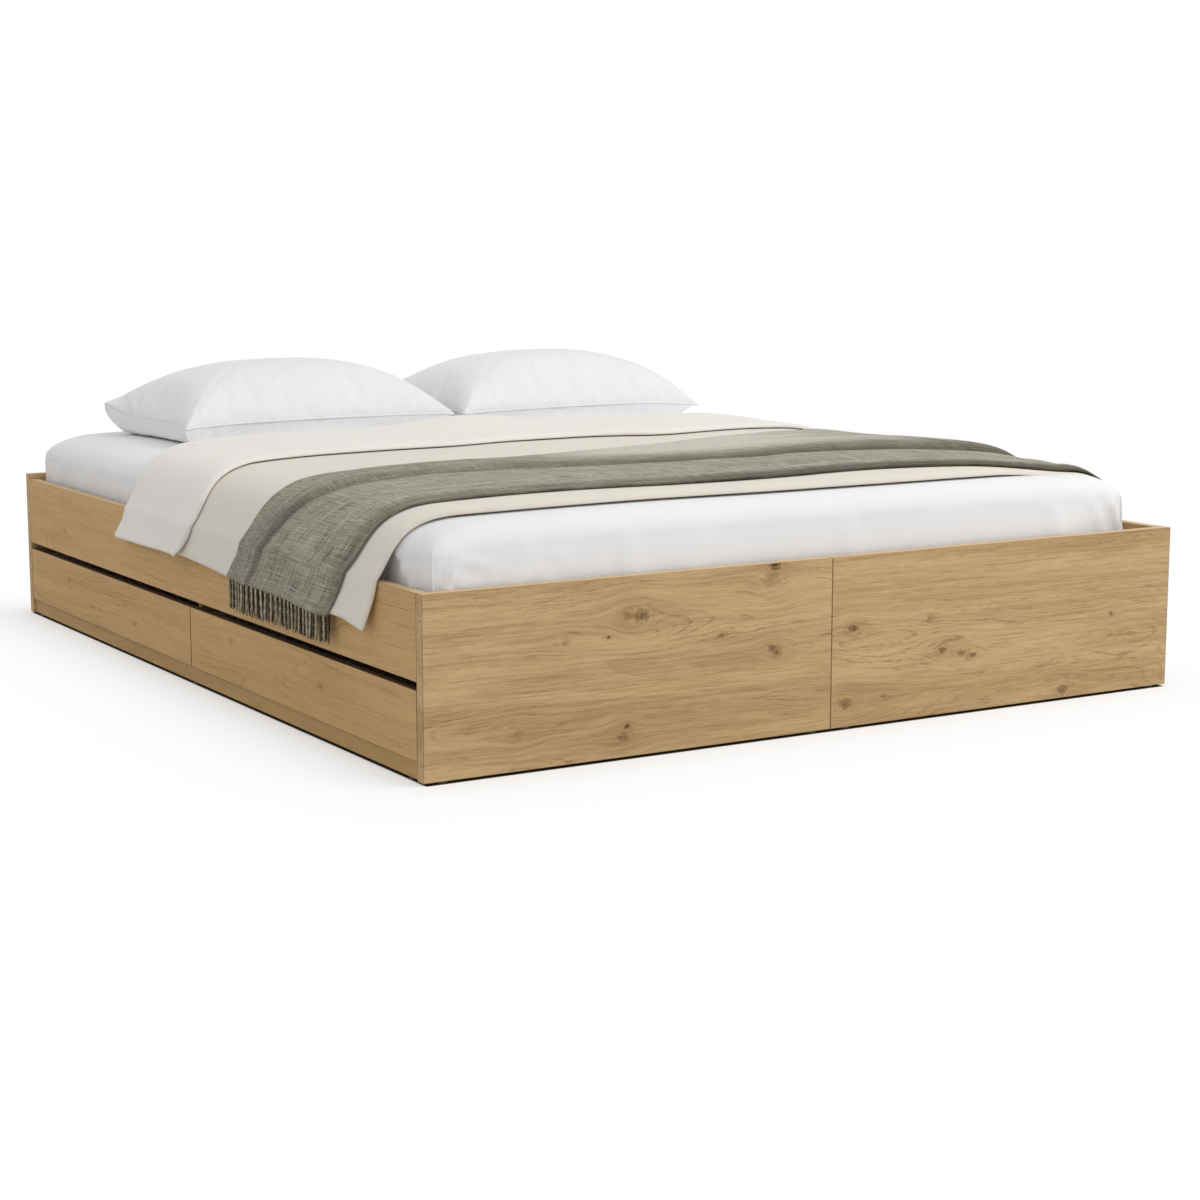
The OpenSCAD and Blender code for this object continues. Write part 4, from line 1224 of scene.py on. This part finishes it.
def pillow_point(corners, u, w, upper):
    """A place on a filled pillow. u runs along it from -1 to 1, and w from its front to its back."""
    share_u = (1 + u * (1 - DRAWN_IN[0] * (1 - w * w))) / 2
    share_w = (1 + w * (1 - DRAWN_IN[1] * (1 - u * u))) / 2
    p = corners[0].lerp(corners[1], share_u).lerp(corners[3].lerp(corners[2], share_u), share_w)
    ear = abs(u * w) ** 10
    p.x += math.copysign(0.011, u) * ear
    p.y += math.copysign(0.006, w) * ear
    length, depth = (corners[1] - corners[0]).length / 2, (corners[3] - corners[0]).length / 2
    seam = PILLOW_SEAM + (p.z - PILLOW_SEAM) * abs(u * w) ** 3
    near_seam = max(abs(u), abs(w)) ** 8
    pleat = math.sin(46 * u + 5 * w) + math.sin(61 * w + 7 * u + 2)
    if upper:
        rise = pillow_rise(u, w, length, depth)
        height = seam + PILLOW_CROWN * rise
        height += 0.0016 * rise * wave(p.x * 9, p.y * 9, 6.0) + 0.0007 * pleat * near_seam * rise
        for side_u, side_w, reach in PILLOW_CREASES:
            along = (1 - side_u * u) * length
            across = (1 - side_w * w) * depth
            slant = along - 1.25 * across
            height -= 0.0050 * hump(slant, 0.0, 0.020) * hump(along, reach, 0.09) * rise
    else:
        full = (1 - abs(w) ** 14) ** 0.5
        full *= (1 - abs(u) ** 14) ** 0.5 if u < 0 else 1 - smooth_step(0.76, 1.0, u)
        height = seam - PILLOW_BELLY * full
        bulge_u, bulge_w = (4 * abs(t) ** 14 * (1 - abs(t) ** 14) for t in (u, w))
        p.x += (-0.012 if u < 0 else 0.004) * bulge_u + 0.0012 * pleat * bulge_u
        p.y += math.copysign(0.012, w) * bulge_w + 0.0012 * pleat * bulge_w
    rest = bed_top(p.x) - BED_TOP + PILLOW_GAP
    over = height - rest
    # Close over the mattress the belly eases down on to it, and doesn't reach into it
    soft = 0.010
    if over < soft:
        over = soft * math.exp(over / soft - 1)
    return Vector((p.x, p.y, BED_TOP + rest + over))


def pillow_case(name, corners, material):
    """A filled pillowcase: two layers joined round their edge. Returns it with the points of its seam."""
    columns, rows = PILLOW_CELLS
    bm = bmesh.new()
    bmesh.ops.create_grid(bm, x_segments=columns, y_segments=rows, size=1.0)
    uv = bm.loops.layers.uv.verify()
    for v in bm.verts:
        # The cells narrow towards the seam
        v.co = Vector([math.copysign(1 - (1 - min(abs(c), 1.0)) ** 1.5, c) for c in v.co.xy] + [0.0])
    for face in bm.faces:
        for loop in face.loops:
            loop[uv].uv = (loop.vert.co.x * CASE_HALF[0], loop.vert.co.y * CASE_HALF[1])
    under = bmesh.ops.duplicate(bm, geom=bm.faces[:] + bm.edges[:] + bm.verts[:])["geom"]
    bmesh.ops.reverse_faces(bm, faces=[g for g in under if isinstance(g, bmesh.types.BMFace)])
    under = {g for g in under if isinstance(g, bmesh.types.BMVert)}
    ring = []
    for v in bm.verts:
        u, w = v.co.x, v.co.y
        on_seam = max(abs(u), abs(w)) > 1 - 1e-6
        v.co = pillow_point(corners, u, w, on_seam or v not in under)
        if on_seam and v not in under:
            ring.append((seam_order(u, w), v))
    bmesh.ops.remove_doubles(bm, verts=bm.verts, dist=1e-6)
    bm.verts.index_update()
    ring = [v for _, v in sorted(ring, key=lambda pair: pair[0]) if v.is_valid]
    path = [v.co.copy() for v in ring]
    held = [v.index for v in ring]
    piece = new_piece(name, bm, material)
    settle_case(piece, held)
    return piece, path


def settle_case(piece, held):
    """Lets the cloth solver tighten and crease a pillowcase over its filling.

    The seam's points, held, stay. No other point moves further than CASE_MOVE, or into the mattress."""
    modelled = [v.co.copy() for v in piece.data.vertices]
    piece.vertex_groups.new(name="seam").add(held, 1.0, "REPLACE")
    solver = piece.modifiers.new("case", "CLOTH")
    settings = solver.settings
    settings.quality = 6
    settings.mass = 0.2
    settings.tension_stiffness = settings.compression_stiffness = 25.0
    settings.shear_stiffness = 8.0
    settings.bending_stiffness = 0.2
    settings.vertex_group_mass = "seam"
    settings.use_pressure = True
    settings.uniform_pressure_force = CASE_PRESSURE
    settings.shrink_min = -CASE_SLACK
    settings.effector_weights.gravity = 0.0
    solver.collision_settings.use_collision = False
    solver.point_cache.frame_end = CASE_FRAMES
    for number in range(1, CASE_FRAMES + 1):
        bpy.context.scene.frame_set(number)
    apply_modifiers(piece)
    bpy.context.scene.frame_set(1)
    for v, before in zip(piece.data.vertices, modelled):
        moved = v.co - before
        v.co = before + moved * min(1.0, CASE_MOVE / max(moved.length, 1e-9))
        v.co.z = max(v.co.z, bed_top(v.co.x) + PILLOW_GAP)


def seam_order(u, w):
    """How far round a pillow's edge a place lies, from 0 to 8."""
    if w < -1 + 1e-6:
        return 1 + u
    if u > 1 - 1e-6:
        return 3 + w
    if w > 1 - 1e-6:
        return 5 - u
    return 7 - w


class BED_OT_make_pillows(bpy.types.Operator):
    """Makes the two filled pillows, with a seam round each"""

    bl_idname = "bed.make_pillows"
    bl_label = "Make pillows"

    def execute(self, context):
        cloth = context.scene.bed_cloth
        material = cotton_material(
            "white pillowcase sateen", tuple(cloth.pillow), threads=1700.0, sheen=0.2, on_map=True
        )
        for node, seam in PILLOW_SEAMS.items():
            corners = [Vector(corner) for corner in seam]
            piece, path = pillow_case(node + "_case", corners, material)
            smooth = piece.modifiers.new("soft", "SUBSURF")
            smooth.levels = smooth.render_levels = 1
            apply_modifiers(piece)
            shade_smooth(piece.data)
            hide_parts(node)
            bm = bmesh.new()
            add_tube(bm, path, cloth.seam_width / 2, sides=6, closed=True)
            new_piece(node + "_seam", bm, material)
        return {"FINISHED"}


# ------------------------------------------------------------------ operators: duvet and throw

# Edges of the duvet as (distance over the bed from its middle line, place along the bed): its foot edge,
# the fold at its head, and the edge of the part that is turned back over it
DUVET_FOOT = (
    (-0.970, -0.848), (-0.938, -0.852), (-0.895, -0.864), (-0.850, -0.874), (-0.800, -0.881),
    (-0.740, -0.887), (-0.690, -0.896), (-0.600, -0.907), (-0.450, -0.917), (-0.270, -0.922),
    (-0.090, -0.930), (0.160, -0.932), (0.390, -0.930), (0.520, -0.921), (0.610, -0.924),
    (0.700, -0.928), (0.780, -0.912), (0.860, -0.875), (0.970, -0.835),
)
DUVET_FOLD = (
    (-0.970, 0.350), (-0.943, 0.334), (-0.910, 0.310), (-0.880, 0.296), (-0.840, 0.289),
    (-0.805, 0.290), (-0.768, 0.307), (-0.712, 0.355), (-0.620, 0.412), (-0.500, 0.436),
    (0.000, 0.440), (0.550, 0.436), (0.700, 0.405), (0.800, 0.365), (0.880, 0.350),
    (0.970, 0.380),
)
DUVET_FLAP = (
    (-0.970, 0.004), (-0.941, -0.022), (-0.891, -0.058), (-0.860, -0.069), (-0.820, -0.072),
    (-0.780, -0.060), (-0.732, -0.040), (-0.690, -0.018), (-0.600, 0.003), (-0.450, 0.012),
    (-0.300, 0.012), (-0.208, 0.018), (-0.084, 0.047), (0.026, 0.057), (0.145, 0.064),
    (0.215, 0.048), (0.276, 0.020), (0.340, 0.018), (0.446, 0.045), (0.556, 0.075),
    (0.655, 0.086), (0.780, 0.060), (0.880, 0.030), (0.970, 0.050),
)
# Height of the duvet's hem, as (place along the bed, height)
DUVET_HEM = (
    (-0.84, 0.237), (-0.80, 0.239), (-0.76, 0.244), (-0.60, 0.243), (-0.30, 0.248),
    (0.03, 0.262), (0.40, 0.260),
)
# Rows of the lower layer, of the fold at the head, and of the part that is turned back
DUVET_ROWS = (76, 10, 32)
# Gap on each side of a layer, and how much rounder the fold stands between the pillows and on the right
DUVET_GAP = 0.0006
DUVET_PUFF = 0.018
DUVET_RIGHT_PUFF = 0.003


def stretch_of(share, stretches):
    """Which of the stretches a share of the whole is in, and how far along that stretch."""
    at = share * sum(stretches)
    for k, count in enumerate(stretches):
        if at <= count + 1e-6:
            return k, min(at / count, 1.0)
        at -= count
    return len(stretches) - 1, 1.0


class BED_OT_make_duvet(bpy.types.Operator):
    """Makes the duvet, draped over both sides and turned back at the head"""

    bl_idname = "bed.make_duvet"
    bl_label = "Make duvet"

    def execute(self, context):
        cloth = context.scene.bed_cloth
        thickness = cloth.duvet_thickness
        lower = thickness / 2 + DUVET_GAP
        upper = lower + thickness + 2 * DUVET_GAP
        radius = (upper - lower) / 2

        def slack(s, y, t, stretch):
            """How far the cover stands off what it lies on, in slow swells."""
            slow = 0.0008 * (1 + wave(s * 3.2, y * 3.6, 2.0)) + 0.0004 * (1 + wave(s * 8.0, y * 7.0, 7.0))
            if stretch == 2:
                slow += 0.0014 * (1 + wave(s * 4.0, y * 7.0, 4.0)) * t
            return slow

        def place(s, share):
            stretch, t = stretch_of(share, DUVET_ROWS)
            fold, foot, flap = (curve_through(edge, s) for edge in (DUVET_FOLD, DUVET_FOOT, DUVET_FLAP))
            down = max(abs(s) - RAIL_RUN, 0.0) / HANG
            side = math.copysign(1, s)
            puff = DUVET_PUFF * hump(s, 0.02, 0.24) + DUVET_RIGHT_PUFF * smooth_step(0.25, 0.45, s)
            loop = radius + puff / 2
            edge = 0.0
            if stretch == 0:
                y, out = foot + (fold - loop - foot) * t, lower
                edge = 1 - smooth_step(0.0, 0.045, y - foot)
            elif stretch == 1:
                turn = math.pi * t
                y = fold - loop + loop * math.sin(turn)
                out = lower + loop * (1 - math.cos(turn))
            else:
                y, out = fold - loop - (fold - loop - flap) * t, upper
                out += puff * smooth_step(fold - 0.22, fold - loop, y)
                edge = 1 - smooth_step(0.0, 0.03, y - flap)
            hem = curve_through(DUVET_HEM, y)
            swing = 0.003 * (1 + math.sin(y * 11.0 + side)) + 0.003 * (1 + wave(y * 7.0, side, 1.0))
            out += slack(s, y, t, stretch) * (1 - 0.7 * edge) - (0.0016 * edge if stretch == 0 else 0.0)
            out += down * down * (swing + 0.010 * edge)
            x, z = drape(s, y, out, hem)
            return Vector((x, y, z))

        def inside(s, share):
            """1 on the turned-back part, where the duvet's paler inside shows, and 0 elsewhere."""
            stretch, t = stretch_of(share, DUVET_ROWS)
            return (0.0, t, 1.0)[stretch]

        columns = cloth_stations(hang=14, bend=26, top=80)
        rows = cloth_rows(DUVET_ROWS)
        piece, size, grid = cloth_grid(
            "duvet_cover",
            columns,
            rows,
            place,
            duvet_material(),
            thickness,
            shade=inside,
            edge_share=0.55,
        )
        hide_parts("duvet")
        area = grid_area(grid, len(columns), len(rows))
        return {"FINISHED"}


# Edges of the throw, given as the duvet's, and the line of its main fold
THROW_FOOT = (
    (-0.970, -0.697), (-0.935, -0.729), (-0.898, -0.757), (-0.860, -0.782), (-0.819, -0.797),
    (-0.770, -0.804), (-0.700, -0.803), (-0.574, -0.800), (-0.442, -0.806), (-0.340, -0.817),
    (-0.240, -0.829), (-0.068, -0.834), (0.040, -0.830), (0.145, -0.814), (0.250, -0.808),
    (0.340, -0.816), (0.420, -0.836), (0.510, -0.865), (0.602, -0.890), (0.700, -0.901),
    (0.780, -0.886), (0.860, -0.848), (0.970, -0.805),
)
THROW_HEAD = (
    (-0.970, -0.248), (-0.939, -0.273), (-0.905, -0.303), (-0.864, -0.327), (-0.827, -0.345),
    (-0.795, -0.356), (-0.760, -0.358), (-0.690, -0.344), (-0.595, -0.318), (-0.473, -0.304),
    (-0.340, -0.296), (-0.209, -0.266), (-0.036, -0.227), (0.157, -0.178), (0.341, -0.115),
    (0.530, -0.049), (0.659, -0.012), (0.780, 0.008), (0.880, 0.000), (0.970, -0.030),
)
THROW_FOLD = (
    (-0.970, -0.367), (-0.897, -0.415), (-0.855, -0.444), (-0.818, -0.476), (-0.778, -0.510),
    (-0.735, -0.525), (-0.643, -0.502), (-0.520, -0.472), (-0.438, -0.482), (-0.322, -0.505),
    (-0.173, -0.540), (0.006, -0.550), (0.152, -0.555), (0.270, -0.535), (0.374, -0.540),
    (0.440, -0.552), (0.506, -0.566), (0.640, -0.606), (0.800, -0.650), (0.970, -0.640),
)
# Height of the throw's hem, as (place along the bed, height)
THROW_HEM = (
    (-0.72, 0.241), (-0.66, 0.241), (-0.59, 0.244), (-0.44, 0.248), (-0.30, 0.251),
    (-0.25, 0.252),
)
# Rows of the throw on its foot side, on its fold's slope and on its head side
THROW_ROWS = (58, 16, 24)
# Gap between the duvet and the throw, and the height above which its fringe ends
THROW_GAP = 0.0026
FRINGE_LOWEST = 0.181
# Rows of the fringe from the outside inwards: the distance between strands and their width, as shares of
# the first row's, how much painted shade darkens them behind the front row, and how far in they hang from
# the hem
FRINGE_ROWS = (
    (1.0, 1.0, 0.0, 0.0010),
    (0.55, 0.85, 0.75, 0.0050),
    (0.5, 0.8, 1.0, 0.0088),
)


def fold_width(s):
    """Width of the slope behind the throw's fold: wide on top of the bed, and close where it hangs."""
    return 0.062 + 0.038 * smooth_step(-0.45, 0.0, s) - 0.040 * smooth_step(0.62, 0.84, abs(s))


def throw_profile(s, share):
    """Place along the bed and height of the throw's folds at one place.

    Its foot side ends in a raised crest at the fold. Behind it lies a hollow, from which the head side
    rises again. The foot edge rolls down to the duvet."""
    foot, head, fold = (curve_through(edge, s) for edge in (THROW_FOOT, THROW_HEAD, THROW_FOLD))
    width = fold_width(s)
    stretch, t = stretch_of(share, THROW_ROWS)
    hanging = smooth_step(0.78, CLOTH_END, abs(s))
    height = bpy.context.scene.bed_cloth.fold_height
    height *= (1 - 0.45 * hanging) * (1 + 0.15 * wave(s * 3.0, 4.0))
    right = smooth_step(-0.5, -0.1, s)
    crest = 0.24 * height * right * (1 - smooth_step(0.60, 0.80, s))
    fuller = 0.75 * smooth_step(0.25, 0.55, s) + 0.30 * smooth_step(0.60, 0.78, s)
    behind = height * (1 - 0.70 * right + fuller)
    if stretch == 0:
        y = foot + (fold - foot) * t
        lift = crest * smooth_step(0.0, 1.0, 1 - (fold - y) / 0.10)
        lift += 0.30 * height * hump(t, 0.50 + 0.10 * math.sin(3.0 * s + 1), 0.26)
        lift += 0.0060 * hump(y - foot, 0.045, 0.045)
    elif stretch == 1:
        y = fold + width * t
        lift = crest * (1 - smooth_step(0.0, 0.16, t)) + behind * smooth_step(0.12, 1.0, t)
    else:
        y = fold + width + (head - fold - width) * t
        low = 0.62 + 0.38 * smooth_step(-0.4, -0.1, s) - 0.38 * smooth_step(0.66, 0.80, s)
        lift = behind * (1 - low * smooth_step(0.05, 0.85, t))
    return y, lift


def throw_shade(s, share):
    """Painted shade on the throw: in the hollow behind its fold, under its foot edge and down its hanging
    sides.

    Below nought it turns the cloth pale, on the side towards the head and along the fold's crest: partly
    its thin side and the upper layer's pale edge, partly a painted highlight."""
    foot, fold = (curve_through(edge, s) for edge in (THROW_FOOT, THROW_FOLD))
    width = fold_width(s)
    y = throw_profile(s, share)[0]
    hanging = smooth_step(0.84, CLOTH_END, abs(s))
    across = smooth_step(-0.45, 0.05, s)
    # Painted shade in the hollow behind the fold
    slope = max(0.0, 1 - max(0.0, y - fold - 0.008) / (width * (1.30 - 0.10 * across)))
    behind_fold = smooth_step(fold - 0.010 + 0.008 * across, fold + 0.004, y)
    hollow = (0.68 + 0.78 * across) * slope**0.85 * behind_fold
    # Painted shade under the foot edge, where it rolls down to the duvet
    up_edge = (y - foot) / 0.050
    roll = (0.66 + 0.50 * across) * (1 - smooth_step(0.25, 1.0, up_edge))
    roll += 0.3 * (1 - smooth_step(0.0, 0.12, up_edge))
    # Random cloudy tone, and painted shade on the hanging sides
    cloudy = 0.10 * wave(s * 5, y * 9, 2.0) + 0.40 * hanging
    # Painted highlight, where the cloth is also thin and pale: on the head side and as a line along the
    # fold's crest
    to_head = smooth_step(fold + 0.9 * width, fold + 0.9 * width + 0.14, y)
    to_head *= smooth_step(-0.30, 0.02, s) * (1 - 0.75 * smooth_step(0.30, 0.72, s))
    pale = 0.80 * to_head * (1 + 0.22 * wave(s * 2.0, y * 26, 9.0))
    selvedge_highlight = 0.38 * hump(y, fold + 0.9 * width, 0.006) * (1 - smooth_step(-0.55, -0.25, s))
    dark = max(0.0, (max(hollow, roll) + cloudy) * (1 - 0.6 * hanging))
    return dark * (1 - min(1.0, 2 * pale + selvedge_highlight)) - pale - selvedge_highlight


class BED_OT_make_throw(bpy.types.Operator):
    """Makes the woven throw, which fans out over the bed, and its twisted fringe"""

    bl_idname = "bed.make_throw"
    bl_label = "Make throw"

    def execute(self, context):
        cloth = context.scene.bed_cloth
        thickness = cloth.throw_thickness
        base = cloth.duvet_thickness + THROW_GAP + thickness / 2

        def place(s, share):
            y, lift = throw_profile(s, share)
            foot, head = curve_through(THROW_FOOT, s), curve_through(THROW_HEAD, s)
            down = max(abs(s) - RAIL_RUN, 0.0) / HANG
            side = math.copysign(1, s)
            edge = 1 - smooth_step(0.0, 0.02, min(y - foot, head - y))
            swell = 0.0007 * (1 + wave(s * 9.0, y * 11.0, 1.0))
            lift += swell + 0.0004 * (1 + wave(s * 26.0, y * 20.0, 2.0))
            lift += down * (0.0015 + 0.0030 * (1 + math.sin(y * 26.0 + side)) * down)
            hem = curve_through(THROW_HEM, y) + 0.003 * wave(y * 9.0, side, 8.0)
            x, z = drape(s, y, base + lift - 0.0006 * edge, hem)
            return Vector((x, y, z))

        columns = cloth_stations(hang=16, bend=34, top=96)
        rows = cloth_rows(THROW_ROWS)
        piece, size, grid = cloth_grid(
            "throw_weave",
            columns,
            rows,
            place,
            throw_material(),
            thickness,
            shade=throw_shade,
            edge_share=0.7,
        )
        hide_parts("throw")
        fringe = self.make_fringe(cloth, grid, len(columns), len(rows))
        area = grid_area(grid, len(columns), len(rows))
        widths = [arc_lengths([grid[(i, j)] for j in range(len(rows))])[-1] for i in range(len(columns))]
        return {"FINISHED"}

    def make_fringe(self, cloth, grid, columns, rows):
        """Hangs three rows of strands from each hem: a loose pale one before two close ones, painted dark
        with the shade behind it.
        """
        bm = bmesh.new()
        back = bm.verts.layers.float.new("back_row")
        bm.loops.layers.uv.verify()
        for column, side in ((0, -1), (columns - 1, 1)):
            hem = [grid[(column, j)] for j in range(rows)]
            run = arc_lengths(hem)
            for row, (pitch, _, shade_behind, _) in enumerate(FRINGE_ROWS):
                strands = round(run[-1] / (cloth.fringe_pitch * pitch))
                for k in range(strands):
                    at = (k + 0.5 + 0.28 * wave(k * 2.1, row * 5.0, side)) / strands * run[-1]
                    j = max(i for i in range(len(run) - 1) if run[i] <= at)
                    start = hem[j].lerp(hem[j + 1], (at - run[j]) / (run[j + 1] - run[j]))
                    before = len(bm.verts)
                    self.add_strand(bm, start, side, row, k, cloth)
                    bm.verts.ensure_lookup_table()
                    for v in bm.verts[before:]:
                        v[back] = shade_behind
        return new_piece("throw_fringe", bm, fringe_material())

    def add_strand(self, bm, start, side, row, k, cloth):
        """One strand: it leaves the hem straight down, wavers a little, and ends in a frayed tip."""
        rings = 10
        _, width, _, inset = FRINGE_ROWS[row]
        chance = [wave(k * 1.37, row * 3.1 + side, c * 2.3) for c in range(5)]
        radius = cloth.strand_width / 2 * width * (1 + 0.18 * chance[4])
        reach = cloth.fringe_length * (1 + 0.10 * chance[0])
        reach = min(reach, start.z - FRINGE_LOWEST - 0.006 * (1 + chance[1]))
        lean = Vector((0, 0.012 * chance[1], 0))
        path, radii = [], []
        inward = -side * inset
        for r in range(rings):
            t = r / (rings - 1)
            sway_out, sway_along = chance[2] * math.sin(3 * t), chance[3] * math.sin(5 * t + k)
            sway = Vector((0.0015 * sway_out, 0.0035 * sway_along, 0))
            path.append(start + Vector((inward, 0, 0.004 - reach * t)) + lean * t * t + sway * t)
            shrink = 0.45 if r == rings - 1 else 1.0
            radii.append(radius * (0.85 + 0.25 * math.sin(2.6 * t + 0.3)) * shrink)
        add_tube(bm, path, radii, sides=6, twist=0.8, lobes=0.3)


# ------------------------------------------------------------------ stage


# Half size of the floor under the bed, which is painted dark as the bed's shadow, and how far beside the
# bed its shadow fades
FOOTPRINT = (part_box("plinth_right")[1].x, cad_high.y, 1.0)
SHADOW_REACH = 0.11
FLOOR_HALF = 40.0
# Colours of the floor: under the bed, where a shadow is painted, beside it, and as the light that it throws
# back on the bed
FLOOR_UNDER_SHADOW = (0.05, 0.045, 0.03)
FLOOR_SEEN = (0.955, 0.955, 0.955)
FLOOR_BOUNCE = (0.72, 0.72, 0.72)
# Place of each lamp, the place that it points at, and its diameter
KEY_LAMP = ((2.6, -3.4, 4.6), (0.0, 0.1, 0.3), 4.2)
FOOT_LAMP = ((-1.2, -6.5, 2.2), (0.0, -0.5, 0.3), 3.5)


class BED_OT_set_stage(bpy.types.Operator):
    """Sets the floor, the light and the camera"""

    bl_idname = "bed.set_stage"
    bl_label = "Set stage"

    def execute(self, context):
        stage = context.scene.bed_stage
        self.make_floor()
        self.make_world(context, stage)
        self.make_lamp("key_lamp", *KEY_LAMP, stage.key)
        self.make_lamp("foot_lamp", *FOOT_LAMP, stage.fill)
        self.make_camera(context, stage)
        context.scene.view_settings.view_transform = "Standard"
        return {"FINISHED"}

    def make_floor(self):
        """A wide pale floor that fades into the white round it, and keeps the bed's shadow. Under the bed a
        dark shadow is painted on it.
        """
        bm = bmesh.new()
        bmesh.ops.create_grid(bm, x_segments=8, y_segments=8, size=FLOOR_HALF)
        mesh = bpy.data.meshes.new("floor")
        bm.to_mesh(mesh)
        bm.free()
        floor = bpy.data.objects.new("floor", mesh)
        bpy.context.scene.collection.objects.link(floor)
        material, n, shader = new_material("pale studio floor")
        place = n.vector("ABSOLUTE", n.add("TexCoord").outputs["Object"])
        beyond = n.vector("MAXIMUM", n.vector("SUBTRACT", place, FOOTPRINT), (0, 0, 0))
        distance = n.vector("LENGTH", beyond)
        near = n.math("EXPONENT", n.math("DIVIDE", distance, -SHADOW_REACH))
        beside = n.ramp(distance, 0.0, 0.006)
        away = n.math("MULTIPLY", beside, n.math("SUBTRACT", 1.0, n.math("MULTIPLY", near, 0.6)))
        seen = n.add("LightPath")
        direct = n.math("MAXIMUM", seen.outputs["Is Camera Ray"], seen.outputs["Is Glossy Ray"])
        # Under the bed the floor is painted dark, as the bed's shadow
        n.put(n.mix(direct, FLOOR_BOUNCE, n.mix(beside, FLOOR_UNDER_SHADOW, FLOOR_SEEN)), shader["Base Color"])
        shader["Roughness"].default_value = 0.9
        shader["Specular IOR Level"].default_value = 0.0
        white = n.add("Emission")
        white.inputs["Strength"].default_value = 1.0
        blend = n.add("MixShader")
        n.put(n.math("MULTIPLY", away, direct), blend.inputs[0])
        output = material.node_tree.nodes["Material Output"]
        principled = material.node_tree.nodes["Principled BSDF"]
        n.put(principled.outputs[0], blend.inputs[1])
        n.put(white.outputs[0], blend.inputs[2])
        n.put(blend.outputs[0], output.inputs["Surface"])
        mesh.materials.append(material)

    def make_world(self, context, stage):
        """Even light from all round; the camera, gloss and glass see white."""
        world = bpy.data.worlds.new("studio")
        context.scene.world = world
        world.use_nodes = True
        n = Nodes(world.node_tree)
        background = world.node_tree.nodes["Background"]
        seen = n.add("LightPath")
        direct = n.math("MAXIMUM", seen.outputs["Is Camera Ray"], seen.outputs["Is Glossy Ray"])
        direct = n.math("MAXIMUM", direct, seen.outputs["Is Transmission Ray"])
        background.inputs["Color"].default_value = (1, 1, 1, 1)
        n.put(n.mix(direct, stage.sky, 1.0, "FLOAT"), background.inputs["Strength"])

    def make_lamp(self, name, place, target, size, power):
        """A round lamp that points at its target."""
        lamp = bpy.data.lights.new(name, "AREA")
        lamp.shape = "DISK"
        lamp.size = size
        lamp.energy = power
        holder = bpy.data.objects.new(name, lamp)
        bpy.context.scene.collection.objects.link(holder)
        holder.location = place
        holder.rotation_euler = (Vector(target) - Vector(place)).to_track_quat("-Z", "Y").to_euler()

    def make_camera(self, context, stage):
        """The camera, at the angle that the bed is pictured from."""
        data = bpy.data.cameras.new("camera")
        data.sensor_width = 36.0
        data.lens = stage.focal
        data.clip_end = 100.0
        camera = bpy.data.objects.new("camera", data)
        context.scene.collection.objects.link(camera)
        camera.location = stage.place
        camera.rotation_euler = (math.pi / 2 - stage.pitch, 0.0, -stage.yaw)
        context.scene.camera = camera


# ------------------------------------------------------------------ panel and registration

STEPS = (
    "shared_effects",
    "finish_boards",
    "finish_inside",
    "finish_fittings",
    "make_mattress",
    "make_pillows",
    "make_duvet",
    "make_throw",
    "set_stage",
)


class BED_PT_dressing(bpy.types.Panel):
    """Lists the bed's sizes, colours and steps"""

    bl_idname = "BED_PT_dressing"
    bl_label = "Bed"
    bl_space_type = "VIEW_3D"
    bl_region_type = "UI"
    bl_category = "Bed"

    def draw(self, context):
        for group in (context.scene.bed_wood, context.scene.bed_cloth, context.scene.bed_stage):
            box = self.layout.box()
            for key in group.__annotations__:
                box.prop(group, key)
        for step in STEPS:
            self.layout.operator("bed." + step)


CLASSES = (
    BedWood,
    BedCloth,
    BedStage,
    BED_OT_shared_effects,
    BED_OT_finish_boards,
    BED_OT_finish_inside,
    BED_OT_finish_fittings,
    BED_OT_make_mattress,
    BED_OT_make_pillows,
    BED_OT_make_duvet,
    BED_OT_make_throw,
    BED_OT_set_stage,
    BED_PT_dressing,
)


def register():
    for cls in CLASSES:
        bpy.utils.register_class(cls)
    bpy.types.Scene.bed_wood = PointerProperty(type=BedWood)
    bpy.types.Scene.bed_cloth = PointerProperty(type=BedCloth)
    bpy.types.Scene.bed_stage = PointerProperty(type=BedStage)


def unregister():
    del bpy.types.Scene.bed_stage
    del bpy.types.Scene.bed_cloth
    del bpy.types.Scene.bed_wood
    for cls in reversed(CLASSES):
        bpy.utils.unregister_class(cls)


def main():
    """Dresses the bed."""
    register()
    for step in STEPS:
        getattr(bpy.ops.bed, step)()


if __name__ == "__main__":
    main()
